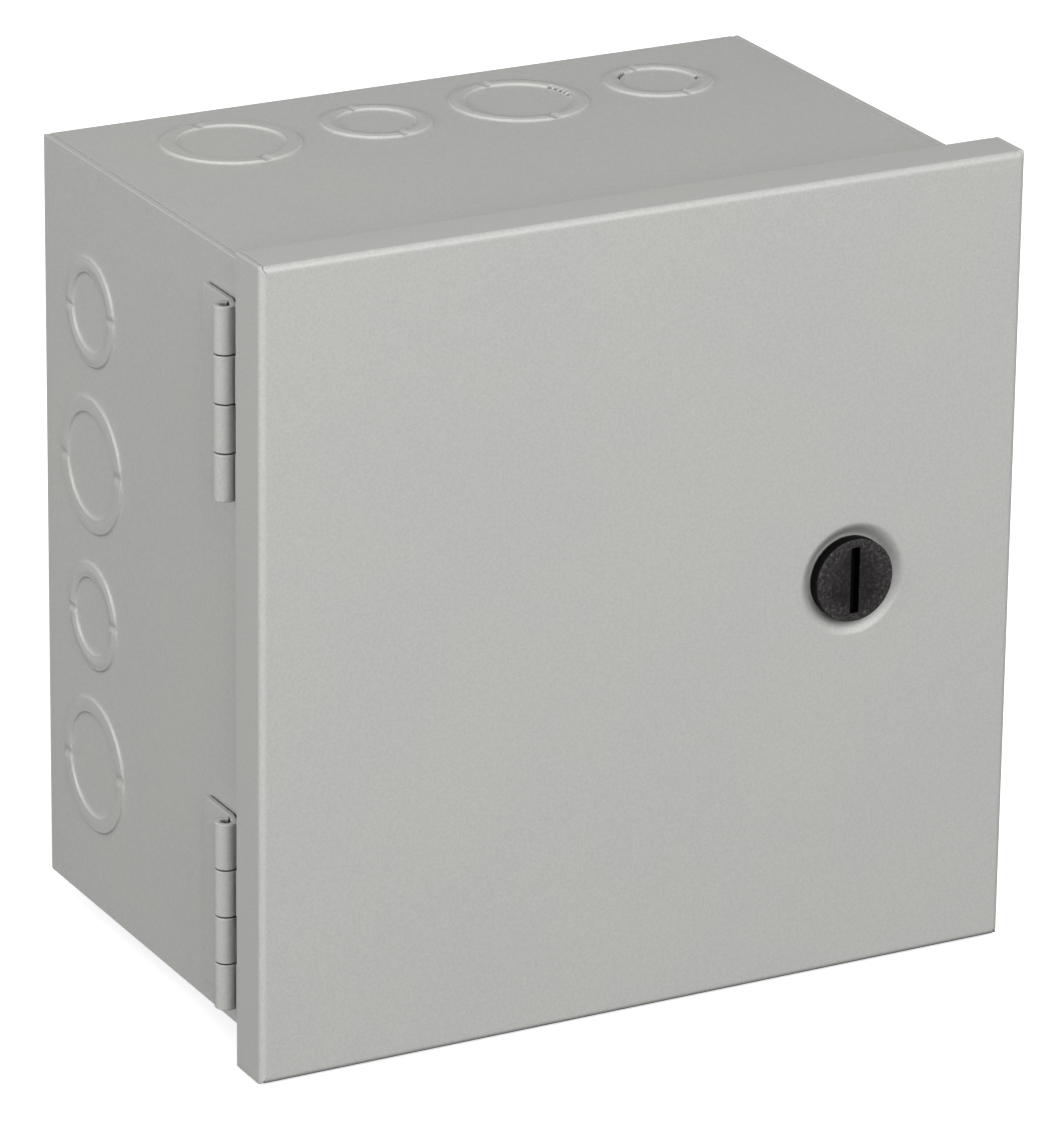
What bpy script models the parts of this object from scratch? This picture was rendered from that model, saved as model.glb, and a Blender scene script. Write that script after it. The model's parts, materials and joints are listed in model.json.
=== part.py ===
"""Small residential load center in a hinged-cover sheet steel box.

Frame: the origin is the centre of the back face, which bears on the wall.
+X is to the right seen from the front, +Z is up and the door faces -Y.
Every length is in metres.
"""
import math

import bpy
import bmesh
from mathutils import Matrix, Vector

# ---------------------------------------------------------------- driving dimensions
BODY_WIDTH = 0.1524
BODY_HEIGHT = 0.1524
BODY_DEPTH = 0.1016
SHEET = 0.0015
FOLD_RADIUS = 0.002
FIT = 0.0003                    # clearance left between pieces that touch

DOOR_SIZE = 0.161
DOOR_STANDOFF = 0.0015          # body front edge to the inside of the door
FLANGE_DEPTH = 0.0104
DOOR_FOLD_RADIUS = 0.0016

KNOCKOUT_SMALL_RADIUS = 0.0111  # 1/2 inch trade size
KNOCKOUT_LARGE_RADIUS = 0.0141  # 3/4 inch trade size
KNOCKOUT_PITCH = 0.031
KNOCKOUT_FROM_BACK = 0.0222
KNOCKOUT_GROOVE = 0.0004
KNOCKOUT_GROOVE_DEPTH = 0.0011
KNOCKOUT_SEGMENTS = 22

HINGE_HEIGHT = 0.0381
HINGE_CENTRES = {"upper": 0.0495, "lower": -0.0523}
HINGE_AXIS = Vector((-0.0794, -0.0876, 0.0))
KNUCKLE_COUNT = 4
KNUCKLE_RADIUS = 0.00225
KNUCKLE_BORE_RADIUS = 0.00125
HINGE_PIN_RADIUS = 0.00095
LEAF_THICKNESS = 0.0012
BODY_LEAF_REAR_Y = -0.0746

LATCH_X = 0.045
DISH_RADIUS = 0.0120
DISH_FLOOR_RADIUS = 0.0092
DISH_DEPTH = 0.002
LATCH_HEAD_RADIUS = 0.0083
LATCH_HEAD_PROUD = 0.0010
LATCH_STEM_RADIUS = 0.005
LATCH_SLOT = (0.0020, 0.0133, 0.0022)
CAM_REACH = 0.025
CAM_WIDTH = 0.012
LIP_INNER_X = 0.0657

STUD_SPREAD = 0.060
COLLAR_RADIUS = 0.005
COLLAR_LENGTH = 0.0114
STUD_RADIUS = 0.0025
STUD_LENGTH = 0.0100
PAN_SIZE = 0.132

BUS_X = (-0.030, -0.010)
BUS_WIDTH = 0.010
BUS_THICKNESS = 0.002
STAB_THICKNESS = 0.0015
STAB_HEIGHT = 0.009
LUG_SIZE = 0.015
LUG_Z = 0.0555

BREAKER_PITCH = 0.0254
BREAKER_LENGTH = 0.076
BREAKER_BACK_Y = -0.028
BREAKER_SHOULDER_Y = -0.076
BREAKER_NOSE_Y = -0.084
BREAKER_NOSE_LENGTH = 0.044
HANDLE_PIVOT_Y = -0.074
HANDLE_DRUM_RADIUS = 0.0085
HANDLE_THROW = 40.0             # degrees between off and on
ARM_PIVOT = (0.014, -0.047)
ARM_RATIO = 0.3                 # contact arm turn for each degree of handle turn

DEAD_FRONT_Y = -0.078
DEAD_FRONT_SHEET = 0.0012
DEAD_FRONT_X = (-0.070, 0.064)
DEAD_FRONT_HALF_HEIGHT = 0.070
DEAD_FRONT_FLANGE = 0.008
POSTS = {"upper": (0.050, 0.050), "lower": (-0.050, -0.054)}

# ---------------------------------------------------------------- worked out from them
BODY_FRONT_Y = -BODY_DEPTH
DOOR_INSIDE_Y = BODY_FRONT_Y - DOOR_STANDOFF
DOOR_FRONT_Y = DOOR_INSIDE_Y - SHEET
DISH_FLOOR_Y = DOOR_FRONT_Y + DISH_DEPTH
DISH_BACK_Y = DISH_FLOOR_Y + SHEET
PAN_BACK_Y = -(SHEET + FIT + COLLAR_LENGTH + FIT)
PAN_FRONT_Y = PAN_BACK_Y - SHEET
ON_PAN_Y = PAN_FRONT_Y - FIT
BUS_BACK_Y = ON_PAN_Y - 0.0097 - FIT
BUS_FRONT_Y = BUS_BACK_Y - BUS_THICKNESS

MATERIALS = {
    "paint": ((0.46, 0.46, 0.445), 0.45, 0.0),
    "zinc": ((0.55, 0.55, 0.53), 0.35, 1.0),
    "latch_plastic": ((0.03, 0.028, 0.027), 0.55, 0.0),
    "breaker_plastic": ((0.018, 0.018, 0.019), 0.5, 0.0),
    "insulator": ((0.05, 0.05, 0.052), 0.6, 0.0),
    "aluminium": ((0.72, 0.72, 0.72), 0.35, 1.0),
    "copper": ((0.75, 0.38, 0.24), 0.3, 1.0),
    "ground_green": ((0.05, 0.22, 0.08), 0.4, 0.6),
}


# ---------------------------------------------------------------- scene and materials
def clear_scene():
    for thing in list(bpy.data.objects):
        bpy.data.objects.remove(thing, do_unlink=True)


def new_collection(name):
    collection = bpy.data.collections.new(name)
    bpy.context.scene.collection.children.link(collection)
    return collection


def make_material(name, colour, roughness, metallic):
    material = bpy.data.materials.new(name)
    material.use_nodes = True
    shader = material.node_tree.nodes["Principled BSDF"]
    shader.inputs["Base Color"].default_value = (*colour, 1.0)
    shader.inputs["Roughness"].default_value = roughness
    shader.inputs["Metallic"].default_value = metallic
    return material


clear_scene()
PARTS = new_collection("residential_load_center")
CUTTERS = new_collection("cutters")


# ---------------------------------------------------------------- shapes
def object_from_bmesh(name, mesh_builder, centre, rotation=None):
    """Wrap a bmesh, modelled about its own origin, in an object placed at centre."""
    mesh = bpy.data.meshes.new(name)
    bmesh.ops.recalc_face_normals(mesh_builder, faces=mesh_builder.faces)
    mesh_builder.to_mesh(mesh)
    mesh_builder.free()
    made = bpy.data.objects.new(name, mesh)
    made.location = centre
    if rotation:
        made.rotation_euler = rotation.to_euler()
    CUTTERS.objects.link(made)
    made.hide_render = True
    made.display_type = "WIRE"
    return made


def block(name, low, high):
    """A box between two corners."""
    low, high = Vector(low), Vector(high)
    builder = bmesh.new()
    bmesh.ops.create_cube(builder, size=1.0)
    bmesh.ops.scale(builder, vec=high - low, verts=builder.verts)
    return object_from_bmesh(name, builder, (low + high) / 2)


def rod(name, start, end, radius, end_radius=None, segments=20):
    """A cylinder, cone or regular prism between two points."""
    start, end = Vector(start), Vector(end)
    builder = bmesh.new()
    bmesh.ops.create_cone(
        builder, cap_ends=True, segments=segments, radius1=radius,
        radius2=radius if end_radius is None else end_radius, depth=(end - start).length)
    turn = Vector((0, 0, 1)).rotation_difference(end - start)
    return object_from_bmesh(name, builder, (start + end) / 2, turn)


def open_box(name, low, high, open_side, fold_radius, thickness):
    """A folded sheet tray: a box with one side missing and its opposite edges rounded."""
    low, high = Vector(low), Vector(high)
    builder = bmesh.new()
    bmesh.ops.create_cube(builder, size=1.0)
    bmesh.ops.scale(builder, vec=high - low, verts=builder.verts)
    side = Vector(open_side)
    missing = [face for face in builder.faces if face.normal.dot(side) > 0.9]
    closed = [face for face in builder.faces if face.normal.dot(side) < -0.9]
    folds = list(closed[0].edges)
    bmesh.ops.delete(builder, geom=missing, context="FACES_ONLY")
    bmesh.ops.bevel(builder, geom=folds, offset=fold_radius, segments=3,
                    profile=0.5, affect="EDGES")
    mesh = bpy.data.meshes.new(name)
    builder.to_mesh(mesh)
    builder.free()
    tray = bpy.data.objects.new(name, mesh)
    tray.location = (low + high) / 2
    CUTTERS.objects.link(tray)
    shell = tray.modifiers.new("sheet", "SOLIDIFY")
    shell.thickness = thickness
    shell.offset = -1.0
    shell.use_even_offset = True
    return tray


def ring_cutter(name, centre, axis, radius, width, depth, segments):
    """A square-section ring, turned with a Screw modifier about the given axis."""
    mesh = bpy.data.meshes.new(name)
    corners = [(radius, 0, depth), (radius + width, 0, depth),
               (radius + width, 0, -depth), (radius, 0, -depth)]
    mesh.from_pydata(corners, [(0, 1), (1, 2), (2, 3), (3, 0)], [])
    ring = bpy.data.objects.new(name, mesh)
    ring.location = centre
    ring.rotation_euler = Vector((0, 0, 1)).rotation_difference(Vector(axis)).to_euler()
    ring.hide_render = True
    ring.display_type = "WIRE"
    CUTTERS.objects.link(ring)
    turn = ring.modifiers.new("turn", "SCREW")
    turn.steps = segments
    turn.render_steps = segments
    turn.use_merge_vertices = True
    turn.merge_threshold = 0.00001
    return ring


def turned(name, origin, axis, profile, steps=14):
    """A turned piece: the profile lists (distance along the axis, radius), top to bottom."""
    mesh = bpy.data.meshes.new(name)
    points = [(radius, 0, along) for along, radius in profile]
    mesh.from_pydata(points, [(i, i + 1) for i in range(len(points) - 1)], [])
    piece = bpy.data.objects.new(name, mesh)
    piece.location = origin
    piece.rotation_euler = Vector((0, 0, 1)).rotation_difference(Vector(axis)).to_euler()
    CUTTERS.objects.link(piece)
    turn = piece.modifiers.new("turn", "SCREW")
    turn.steps = steps
    turn.render_steps = steps
    turn.use_merge_vertices = True
    turn.merge_threshold = 0.00001
    return piece


def combine(piece, tool, operation):
    modifier = piece.modifiers.new(f"{operation.lower()}_{tool.name}", "BOOLEAN")
    modifier.operation = operation
    modifier.object = tool
    modifier.solver = "EXACT"
    tool.hide_render = True
    tool.display_type = "WIRE"


def join(piece, *tools):
    for tool in tools:
        combine(piece, tool, "UNION")


def cut(piece, *tools):
    for tool in tools:
        combine(piece, tool, "DIFFERENCE")


def finish(piece, material, axis_empty=None, smooth=False):
    """Give a piece its material, move it to the parts and hang it, with its tools, on its axis."""
    CUTTERS.objects.unlink(piece)
    PARTS.objects.link(piece)
    piece.hide_render = False
    piece.display_type = "TEXTURED"
    piece.data.materials.clear()
    piece.data.materials.append(MATERIAL[material])
    if smooth:
        piece.data.shade_smooth()
    if axis_empty:
        origin = axis_origin(axis_empty)
        tools = [modifier.object for modifier in piece.modifiers if modifier.type == "BOOLEAN"]
        for member in (piece, *tools):
            member.parent = axis_empty
            member.location = member.location - origin


def axis_origin(axis_empty):
    origin = axis_empty.location.copy()
    while axis_empty.parent:
        axis_empty = axis_empty.parent
        origin += axis_empty.location
    return origin


def joint_axis(name, origin, parent=None):
    """An empty on a joint's axis, which the moving pieces hang on."""
    marker = bpy.data.objects.new(name, None)
    marker.empty_display_size = 0.01
    marker.location = Vector(origin) - (axis_origin(parent) if parent else Vector())
    marker.parent = parent
    PARTS.objects.link(marker)
    return marker


MATERIAL = {name: make_material(name, *values) for name, values in MATERIALS.items()}


# ---------------------------------------------------------------- enclosure body
def knockout_rows():
    """Every knockout's centre on the outer face, its outward axis and its radius."""
    large, small = KNOCKOUT_LARGE_RADIUS, KNOCKOUT_SMALL_RADIUS
    for row in range(4):
        along = (row - 1.5) * KNOCKOUT_PITCH
        side_radius = large if row % 2 == 0 else small
        end_radius = large if row in (0, 2) else small
        for side in (-1, 1):
            centre = (side * BODY_WIDTH / 2, -KNOCKOUT_FROM_BACK, along)
            yield centre, (side, 0, 0), side_radius
            centre = (along, -KNOCKOUT_FROM_BACK, side * BODY_HEIGHT / 2)
            yield centre, (0, 0, side), end_radius


def make_body():
    body = open_box(
        "enclosure_body",
        (-BODY_WIDTH / 2, BODY_FRONT_Y, -BODY_HEIGHT / 2),
        (BODY_WIDTH / 2, 0, BODY_HEIGHT / 2), (0, -1, 0), FOLD_RADIUS, SHEET)
    lip_edge = 0.0001
    join(body, block(
        "latch_lip",
        (LIP_INNER_X, BODY_FRONT_Y + lip_edge, -BODY_HEIGHT / 2 + SHEET / 2),
        (BODY_WIDTH / 2 - SHEET / 2, BODY_FRONT_Y + lip_edge + SHEET, BODY_HEIGHT / 2 - SHEET / 2)))
    for number, (centre, axis, radius) in enumerate(knockout_rows()):
        cut(body, ring_cutter(
            f"knockout_groove_{number}", centre, axis, radius,
            KNOCKOUT_GROOVE, KNOCKOUT_GROOVE_DEPTH, KNOCKOUT_SEGMENTS))
    hole_x, hole_z, hole_radius = 0.040, 0.060, 0.0032
    for x in (-hole_x, hole_x):
        for z in (-hole_z, hole_z):
            cut(body, rod("wall_screw_hole", (x, 0.001, z), (x, -0.003, z), hole_radius))
    finish(body, "paint")


# ---------------------------------------------------------------- door and hinges
def make_door(axis):
    half = DOOR_SIZE / 2
    door = open_box(
        "door", (-half, DOOR_FRONT_Y, -half), (half, DOOR_FRONT_Y + FLANGE_DEPTH, half),
        (0, 1, 0), DOOR_FOLD_RADIUS, SHEET)
    boss = rod("dish_boss", (LATCH_X, DOOR_INSIDE_Y - SHEET / 2, 0), (LATCH_X, DISH_BACK_Y, 0),
               DISH_RADIUS + SHEET, DISH_FLOOR_RADIUS + SHEET, 36)
    above = 0.0005
    slope = (DISH_RADIUS - DISH_FLOOR_RADIUS) * above / DISH_DEPTH
    dish = rod("dish", (LATCH_X, DOOR_FRONT_Y - above, 0), (LATCH_X, DISH_FLOOR_Y, 0),
               DISH_RADIUS + slope, DISH_FLOOR_RADIUS, 36)
    hole = rod("latch_hole", (LATCH_X, DOOR_FRONT_Y - above, 0), (LATCH_X, DISH_BACK_Y + above, 0),
               LATCH_STEM_RADIUS + FIT, segments=24)
    join(door, boss)
    cut(door, dish, hole)
    finish(door, "paint", axis)


def knuckle_span(centre_z, index):
    """Bottom and top of one knuckle, counted from the top of its hinge."""
    pitch = HINGE_HEIGHT / KNUCKLE_COUNT
    top = centre_z + HINGE_HEIGHT / 2 - index * pitch
    return top - pitch + FIT, top


def make_leaf(name, centre_z, plate_low, plate_high, tab_y, first_knuckle):
    """A hinge leaf: a plate, with a tab and a rolled knuckle at every other knuckle place."""
    bottom = centre_z - HINGE_HEIGHT / 2 + FIT
    top = centre_z + HINGE_HEIGHT / 2
    leaf = block(name, (*plate_low, bottom), (*plate_high, top))
    x, y, _ = HINGE_AXIS
    for index in range(first_knuckle, KNUCKLE_COUNT, 2):
        low, high = knuckle_span(centre_z, index)
        tab = block(f"{name}_tab_{index}", (plate_low[0], min(tab_y), low),
                    (plate_high[0], max(tab_y), high))
        barrel = rod(f"{name}_knuckle_{index}", (x, y, low), (x, y, high), KNUCKLE_RADIUS)
        join(leaf, tab, barrel)
    beyond = 0.001
    cut(leaf, rod(f"{name}_bore", (x, y, bottom - beyond), (x, y, top + beyond),
                  KNUCKLE_BORE_RADIUS, segments=14))
    return leaf


def make_hinges(door_axis):
    wall_x = -BODY_WIDTH / 2
    flange_x = -DOOR_SIZE / 2 + SHEET
    axis_y = HINGE_AXIS.y
    for place, centre_z in HINGE_CENTRES.items():
        body_leaf_x = (wall_x - FIT - LEAF_THICKNESS, wall_x - FIT)
        body_leaf_front = axis_y + KNUCKLE_RADIUS + 0.00035
        body_leaf = make_leaf(
            f"{place}_hinge_body_leaf", centre_z,
            (body_leaf_x[0], body_leaf_front), (body_leaf_x[1], BODY_LEAF_REAR_Y),
            (axis_y - 0.001, body_leaf_front + 0.001), 0)
        finish(body_leaf, "paint")
        door_leaf_x = (flange_x + FIT, flange_x + FIT + LEAF_THICKNESS)
        door_leaf_rear = DOOR_FRONT_Y + FLANGE_DEPTH + 0.0006
        door_leaf = make_leaf(
            f"{place}_hinge_door_leaf", centre_z,
            (door_leaf_x[0], DOOR_INSIDE_Y + 0.0016), (door_leaf_x[1], door_leaf_rear),
            (door_leaf_rear - 0.001, axis_y - 0.0014), 1)
        finish(door_leaf, "paint", door_axis)
        inset = 0.0006
        pin = rod(f"{place}_hinge_pin",
                  (HINGE_AXIS.x, axis_y, centre_z - HINGE_HEIGHT / 2 + inset),
                  (HINGE_AXIS.x, axis_y, centre_z + HINGE_HEIGHT / 2 - inset),
                  HINGE_PIN_RADIUS, segments=12)
        finish(pin, "zinc", smooth=True)


# ---------------------------------------------------------------- quarter-turn latch
def make_latch(axis):
    x = LATCH_X
    head_front = DOOR_FRONT_Y - LATCH_HEAD_PROUD
    head_back = DISH_FLOOR_Y - FIT
    square_start = DISH_BACK_Y + 0.0020
    square_end = square_start + 0.0026
    square = 0.0032
    rotor = rod("latch_rotor", (x, head_front, 0), (x, head_back, 0), LATCH_HEAD_RADIUS, segments=32)
    stem = rod("latch_stem", (x, head_back - 0.001, 0), (x, square_start, 0), LATCH_STEM_RADIUS)
    drive = block("latch_square", (x - square, square_start - 0.001, -square),
                  (x + square, square_end, square))
    width, length, depth = LATCH_SLOT
    slot = block("latch_slot", (x - width / 2, head_front - 0.001, -length / 2),
                 (x + width / 2, head_front + depth, length / 2))
    screw_radius = 0.0016
    bore = rod("latch_screw_bore", (x, square_end + 0.001, 0), (x, square_end - 0.006, 0),
               screw_radius + FIT, segments=12)
    join(rotor, stem, drive)
    cut(rotor, slot, bore)
    finish(rotor, "latch_plastic", axis)

    retainer_front = DISH_BACK_Y + FIT
    retainer = rod("latch_retainer", (x, retainer_front, 0), (x, retainer_front + 0.0015, 0), 0.009)
    cut(retainer, rod("retainer_hole", (x, retainer_front - 0.001, 0), (x, retainer_front + 0.003, 0),
                      LATCH_STEM_RADIUS + FIT))
    finish(retainer, "zinc", axis)

    cam_front = square_start + 0.0002
    cam_back = cam_front + 0.002
    cam = block("latch_cam", (x - CAM_WIDTH / 2, cam_front, -CAM_WIDTH / 2),
                (x + CAM_WIDTH / 2, cam_back, CAM_REACH))
    gap = square + FIT
    cut(cam, block("cam_hole", (x - gap, cam_front - 0.001, -gap), (x + gap, cam_back + 0.001, gap)))
    finish(cam, "zinc", axis)

    head_start = square_end + FIT
    screw = turned("latch_cam_screw", (x, head_start, 0), (0, 1, 0),
                   [(0.0025, 0), (0.0025, 0.005), (0, 0.005), (0, screw_radius),
                    (-0.005, screw_radius), (-0.005, 0)])
    finish(screw, "zinc", axis)


# ---------------------------------------------------------------- interior pan and its fixings
def make_pan():
    half = PAN_SIZE / 2
    pan = block("interior_pan", (-half, PAN_FRONT_Y, -half), (half, PAN_BACK_Y, half))
    stud_start = -(SHEET + FIT)
    corners = [(x, z) for z in (STUD_SPREAD, -STUD_SPREAD) for x in (-STUD_SPREAD, STUD_SPREAD)]
    for number, (x, z) in enumerate(corners, start=1):
        cut(pan, rod(f"pan_hole_{number}", (x, PAN_FRONT_Y - 0.001, z), (x, PAN_BACK_Y + 0.001, z),
                     STUD_RADIUS + FIT, segments=14))
        stud = turned(f"collar_stud_{number}", (x, stud_start, z), (0, -1, 0),
                      [(COLLAR_LENGTH + STUD_LENGTH, 0), (COLLAR_LENGTH + STUD_LENGTH, STUD_RADIUS),
                       (COLLAR_LENGTH, STUD_RADIUS), (COLLAR_LENGTH, COLLAR_RADIUS),
                       (0, COLLAR_RADIUS), (0, 0)])
        finish(stud, "zinc")
        nut = rod(f"pan_nut_{number}", (x, ON_PAN_Y, z), (x, ON_PAN_Y - 0.004, z), 0.0046, segments=6)
        cut(nut, rod(f"nut_hole_{number}", (x, ON_PAN_Y + 0.001, z), (x, ON_PAN_Y - 0.005, z),
                     STUD_RADIUS + FIT, segments=14))
        finish(nut, "zinc")
    finish(pan, "zinc")


# ---------------------------------------------------------------- bus bars and line lugs
def make_bus():
    base = block("bus_base", (-0.040, BUS_BACK_Y + FIT, -0.024), (0.002, ON_PAN_Y, 0.064))
    finish(base, "insulator")
    stab_x = BUS_X[0]
    half = BUS_WIDTH / 2
    top = LUG_Z + LUG_SIZE / 2
    for number, bus_x in enumerate(BUS_X, start=1):
        breaker_z = (1.5 - number) * BREAKER_PITCH
        bus = block(f"line_bus_{number}", (bus_x - half, BUS_FRONT_Y, breaker_z - half),
                    (bus_x + half, BUS_BACK_Y, top))
        if bus_x != stab_x:
            join(bus, block("bus_jog", (stab_x - half, BUS_FRONT_Y, breaker_z - half),
                            (bus_x, BUS_BACK_Y, breaker_z + half)))
        join(bus, block(
            f"stab_{number}",
            (stab_x - STAB_THICKNESS / 2, BUS_FRONT_Y - STAB_HEIGHT, breaker_z - 0.0046),
            (stab_x + STAB_THICKNESS / 2, BUS_FRONT_Y + 0.001, breaker_z + 0.0046)))
        finish(bus, "copper")
        lug_back = BUS_FRONT_Y - FIT
        lug_front = lug_back - 0.0174
        wire_y = lug_back - 0.0066
        half_lug = LUG_SIZE / 2
        lug = block(f"line_lug_{number}", (bus_x - half_lug, lug_front, LUG_Z - half_lug),
                    (bus_x + half_lug, lug_back, LUG_Z + half_lug))
        wire_radius, screw_radius = 0.0042, 0.0034
        cut(lug, rod(f"lug_wire_hole_{number}", (bus_x, wire_y, LUG_Z - LUG_SIZE),
                     (bus_x, wire_y, LUG_Z + LUG_SIZE), wire_radius))
        cut(lug, rod(f"lug_screw_hole_{number}", (bus_x, wire_y, LUG_Z),
                     (bus_x, lug_front - 0.001, LUG_Z), screw_radius + FIT))
        finish(lug, "aluminium")
        screw = rod(f"line_lug_screw_{number}", (bus_x, lug_front - 0.003, LUG_Z),
                    (bus_x, wire_y - wire_radius - 0.0008, LUG_Z), screw_radius)
        cut(screw, block(f"lug_screw_slot_{number}",
                         (bus_x - 0.0005, lug_front - 0.004, LUG_Z - 0.005),
                         (bus_x + 0.0005, lug_front - 0.0015, LUG_Z + 0.005)))
        finish(screw, "zinc")


# ---------------------------------------------------------------- plug-on breakers
def make_case_half(name, centre_z, side):
    """One moulded half of a breaker case, hollowed for the works it holds."""
    half_length = BREAKER_LENGTH / 2
    nose = BREAKER_NOSE_LENGTH / 2
    near, far = FIT / 2, BREAKER_PITCH / 2 - FIT / 2

    def span(low, high):
        ends = (centre_z + side * low, centre_z + side * high)
        return min(ends), max(ends)

    def chunk(label, x, y, z):
        low_z, high_z = span(*z)
        return block(f"{name}_{label}", (x[0], y[0], low_z), (x[1], y[1], high_z))

    def hole(label, x, y, radius, depth, segments):
        low_z, high_z = span(-0.001, depth)
        return rod(f"{name}_{label}", (x, y, low_z), (x, y, high_z), radius, segments=segments)

    case = chunk("block", (-half_length, half_length), (BREAKER_SHOULDER_Y, BREAKER_BACK_Y), (near, far))
    case.name = name
    join(case, chunk("nose", (-nose, nose), (BREAKER_NOSE_Y, BREAKER_SHOULDER_Y + 0.001),
                     (near, far)))
    cut(case,
        chunk("works", (-0.024, 0.024), (-0.072, -0.034), (-0.001, 0.0095)),
        hole("drum_pocket", 0, HANDLE_PIVOT_Y, HANDLE_DRUM_RADIUS + FIT, 0.0043, 28),
        chunk("handle_slot", (-0.0095, 0.0095), (BREAKER_NOSE_Y - 0.001, HANDLE_PIVOT_Y), (-0.001, 0.0043)),
        hole("handle_bearing", 0, HANDLE_PIVOT_Y, 0.0023, 0.0095, 12),
        hole("arm_bearing", *ARM_PIVOT, 0.0018, 0.0116, 12),
        chunk("jaw_slot", (-0.0334, -0.0266), (-0.0405, BREAKER_BACK_Y + 0.001), (-0.001, 0.0052)),
        chunk("jaw_window", (-0.027, -0.0235), (-0.0400, -0.0386), (-0.001, 0.0045)),
        chunk("lug_pocket", (0.0262, half_length + 0.001), (BREAKER_SHOULDER_Y - 0.001, -0.058),
              (-0.001, 0.0065)),
        chunk("rail_slot", (0.0335, half_length + 0.001), (-0.0363, -0.0332), (-0.001, 0.014)))
    finish(case, "breaker_plastic")


def make_handle(name, centre_z):
    """A toggle handle: a drum on two trunnions with a lever, stored in the off place."""
    axis = joint_axis(f"{name}_axis", (0, HANDLE_PIVOT_Y, centre_z))
    half = 0.004
    handle = rod(name, (0, HANDLE_PIVOT_Y, centre_z - half), (0, HANDLE_PIVOT_Y, centre_z + half),
                 HANDLE_DRUM_RADIUS, segments=28)
    trunnion = rod(f"{name}_trunnion", (0, HANDLE_PIVOT_Y, centre_z - 0.0088),
                   (0, HANDLE_PIVOT_Y, centre_z + 0.0088), 0.002, segments=12)
    lever = block(f"{name}_lever", (-0.003, -0.019, -0.0037), (0.003, -0.005, 0.0037))
    for corner in lever.data.vertices:
        if corner.co.y < 0:
            corner.co.x *= 0.75
        corner.co += lever.location
    off = math.radians(HANDLE_THROW / 2)
    lever.rotation_euler = (0, 0, off)
    lever.location = (0, HANDLE_PIVOT_Y, centre_z)
    join(handle, trunnion, lever)
    finish(handle, "breaker_plastic", axis)


def make_contact_arm(name, centre_z):
    """The moving contact's arm, turned away from the fixed contact while the handle is off."""
    x, y = ARM_PIVOT
    axis = joint_axis(f"{name}_axis", (x, y, centre_z))
    arm = rod(name, (x, y, centre_z - 0.0025), (x, y, centre_z + 0.0025), 0.003, segments=16)
    trunnion = rod(f"{name}_trunnion", (x, y, centre_z - 0.011), (x, y, centre_z + 0.011), 0.0015,
                   segments=12)
    blade = block(f"{name}_blade", (-0.032, -0.001, -0.002), (0, 0.001, 0.002))
    pad = block(f"{name}_pad", (-0.0318, 0.0004, -0.0018), (-0.0282, 0.0037, 0.0018))
    opened = Matrix.Rotation(math.radians(HANDLE_THROW * ARM_RATIO), 4, "Z")
    for piece in (blade, pad):
        for corner in piece.data.vertices:
            corner.co = opened @ (corner.co + piece.location)
        piece.location = (x, y, centre_z)
    join(arm, trunnion, blade, pad)
    finish(arm, "copper", axis)


def make_breaker(number, centre_z):
    name = f"breaker_{number}"
    make_case_half(f"{name}_case_upper", centre_z, 1)
    make_case_half(f"{name}_case_lower", centre_z, -1)
    make_handle(f"{name}_handle", centre_z)
    make_contact_arm(f"{name}_contact_arm", centre_z)

    stab_x = BUS_X[0]
    leg = 0.0008
    jaw = block(f"{name}_line_jaw", (stab_x - 0.002 - leg, -0.0398, centre_z - 0.0042),
                (-0.014, -0.0390, centre_z + 0.0042))
    for label, leg_x in (("left", stab_x - 0.002 - leg), ("right", stab_x + 0.002)):
        join(jaw, block(f"{name}_jaw_{label}", (leg_x, -0.0395, centre_z - 0.0042),
                        (leg_x + leg, -0.0305, centre_z + 0.0042)))
    join(jaw, block(f"{name}_fixed_contact", (-0.018, -0.0430, centre_z - 0.0018),
                    (-0.0144, -0.0392, centre_z + 0.0018)))
    finish(jaw, "copper")

    lug_x = 0.032
    lug = block(f"{name}_load_lug", (0.0275, -0.0665, centre_z - 0.0055),
                (0.0365, -0.0583, centre_z + 0.0055))
    cut(lug,
        rod(f"{name}_load_wire_hole", (0.026, -0.0616, centre_z), (0.038, -0.0616, centre_z), 0.0024,
            segments=16),
        rod(f"{name}_load_screw_hole", (lug_x, -0.068, centre_z), (lug_x, -0.0616, centre_z), 0.0023,
            segments=14))
    finish(lug, "zinc")
    screw = turned(f"{name}_load_screw", (lug_x, -0.0690, centre_z), (0, -1, 0),
                   [(0.0020, 0), (0.0020, 0.0040), (0, 0.0040), (0, 0.0020),
                    (-0.0046, 0.0020), (-0.0046, 0)])
    finish(screw, "zinc")


def make_breaker_rail():
    """The folded steel rail that the breakers' outer ends hook on."""
    half = BREAKER_PITCH - 0.0005
    rail = block("breaker_rail", (0.0405, -0.0356, -half), (0.0420, ON_PAN_Y, half))
    join(rail,
         block("rail_hook", (0.0342, -0.0355, -half + 0.0001), (0.0415, -0.0341, half - 0.0001)),
         block("rail_foot", (0.0410, -0.0168, -half + 0.0001), (0.0520, ON_PAN_Y - 0.0001, half - 0.0001)))
    finish(rail, "zinc")


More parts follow.
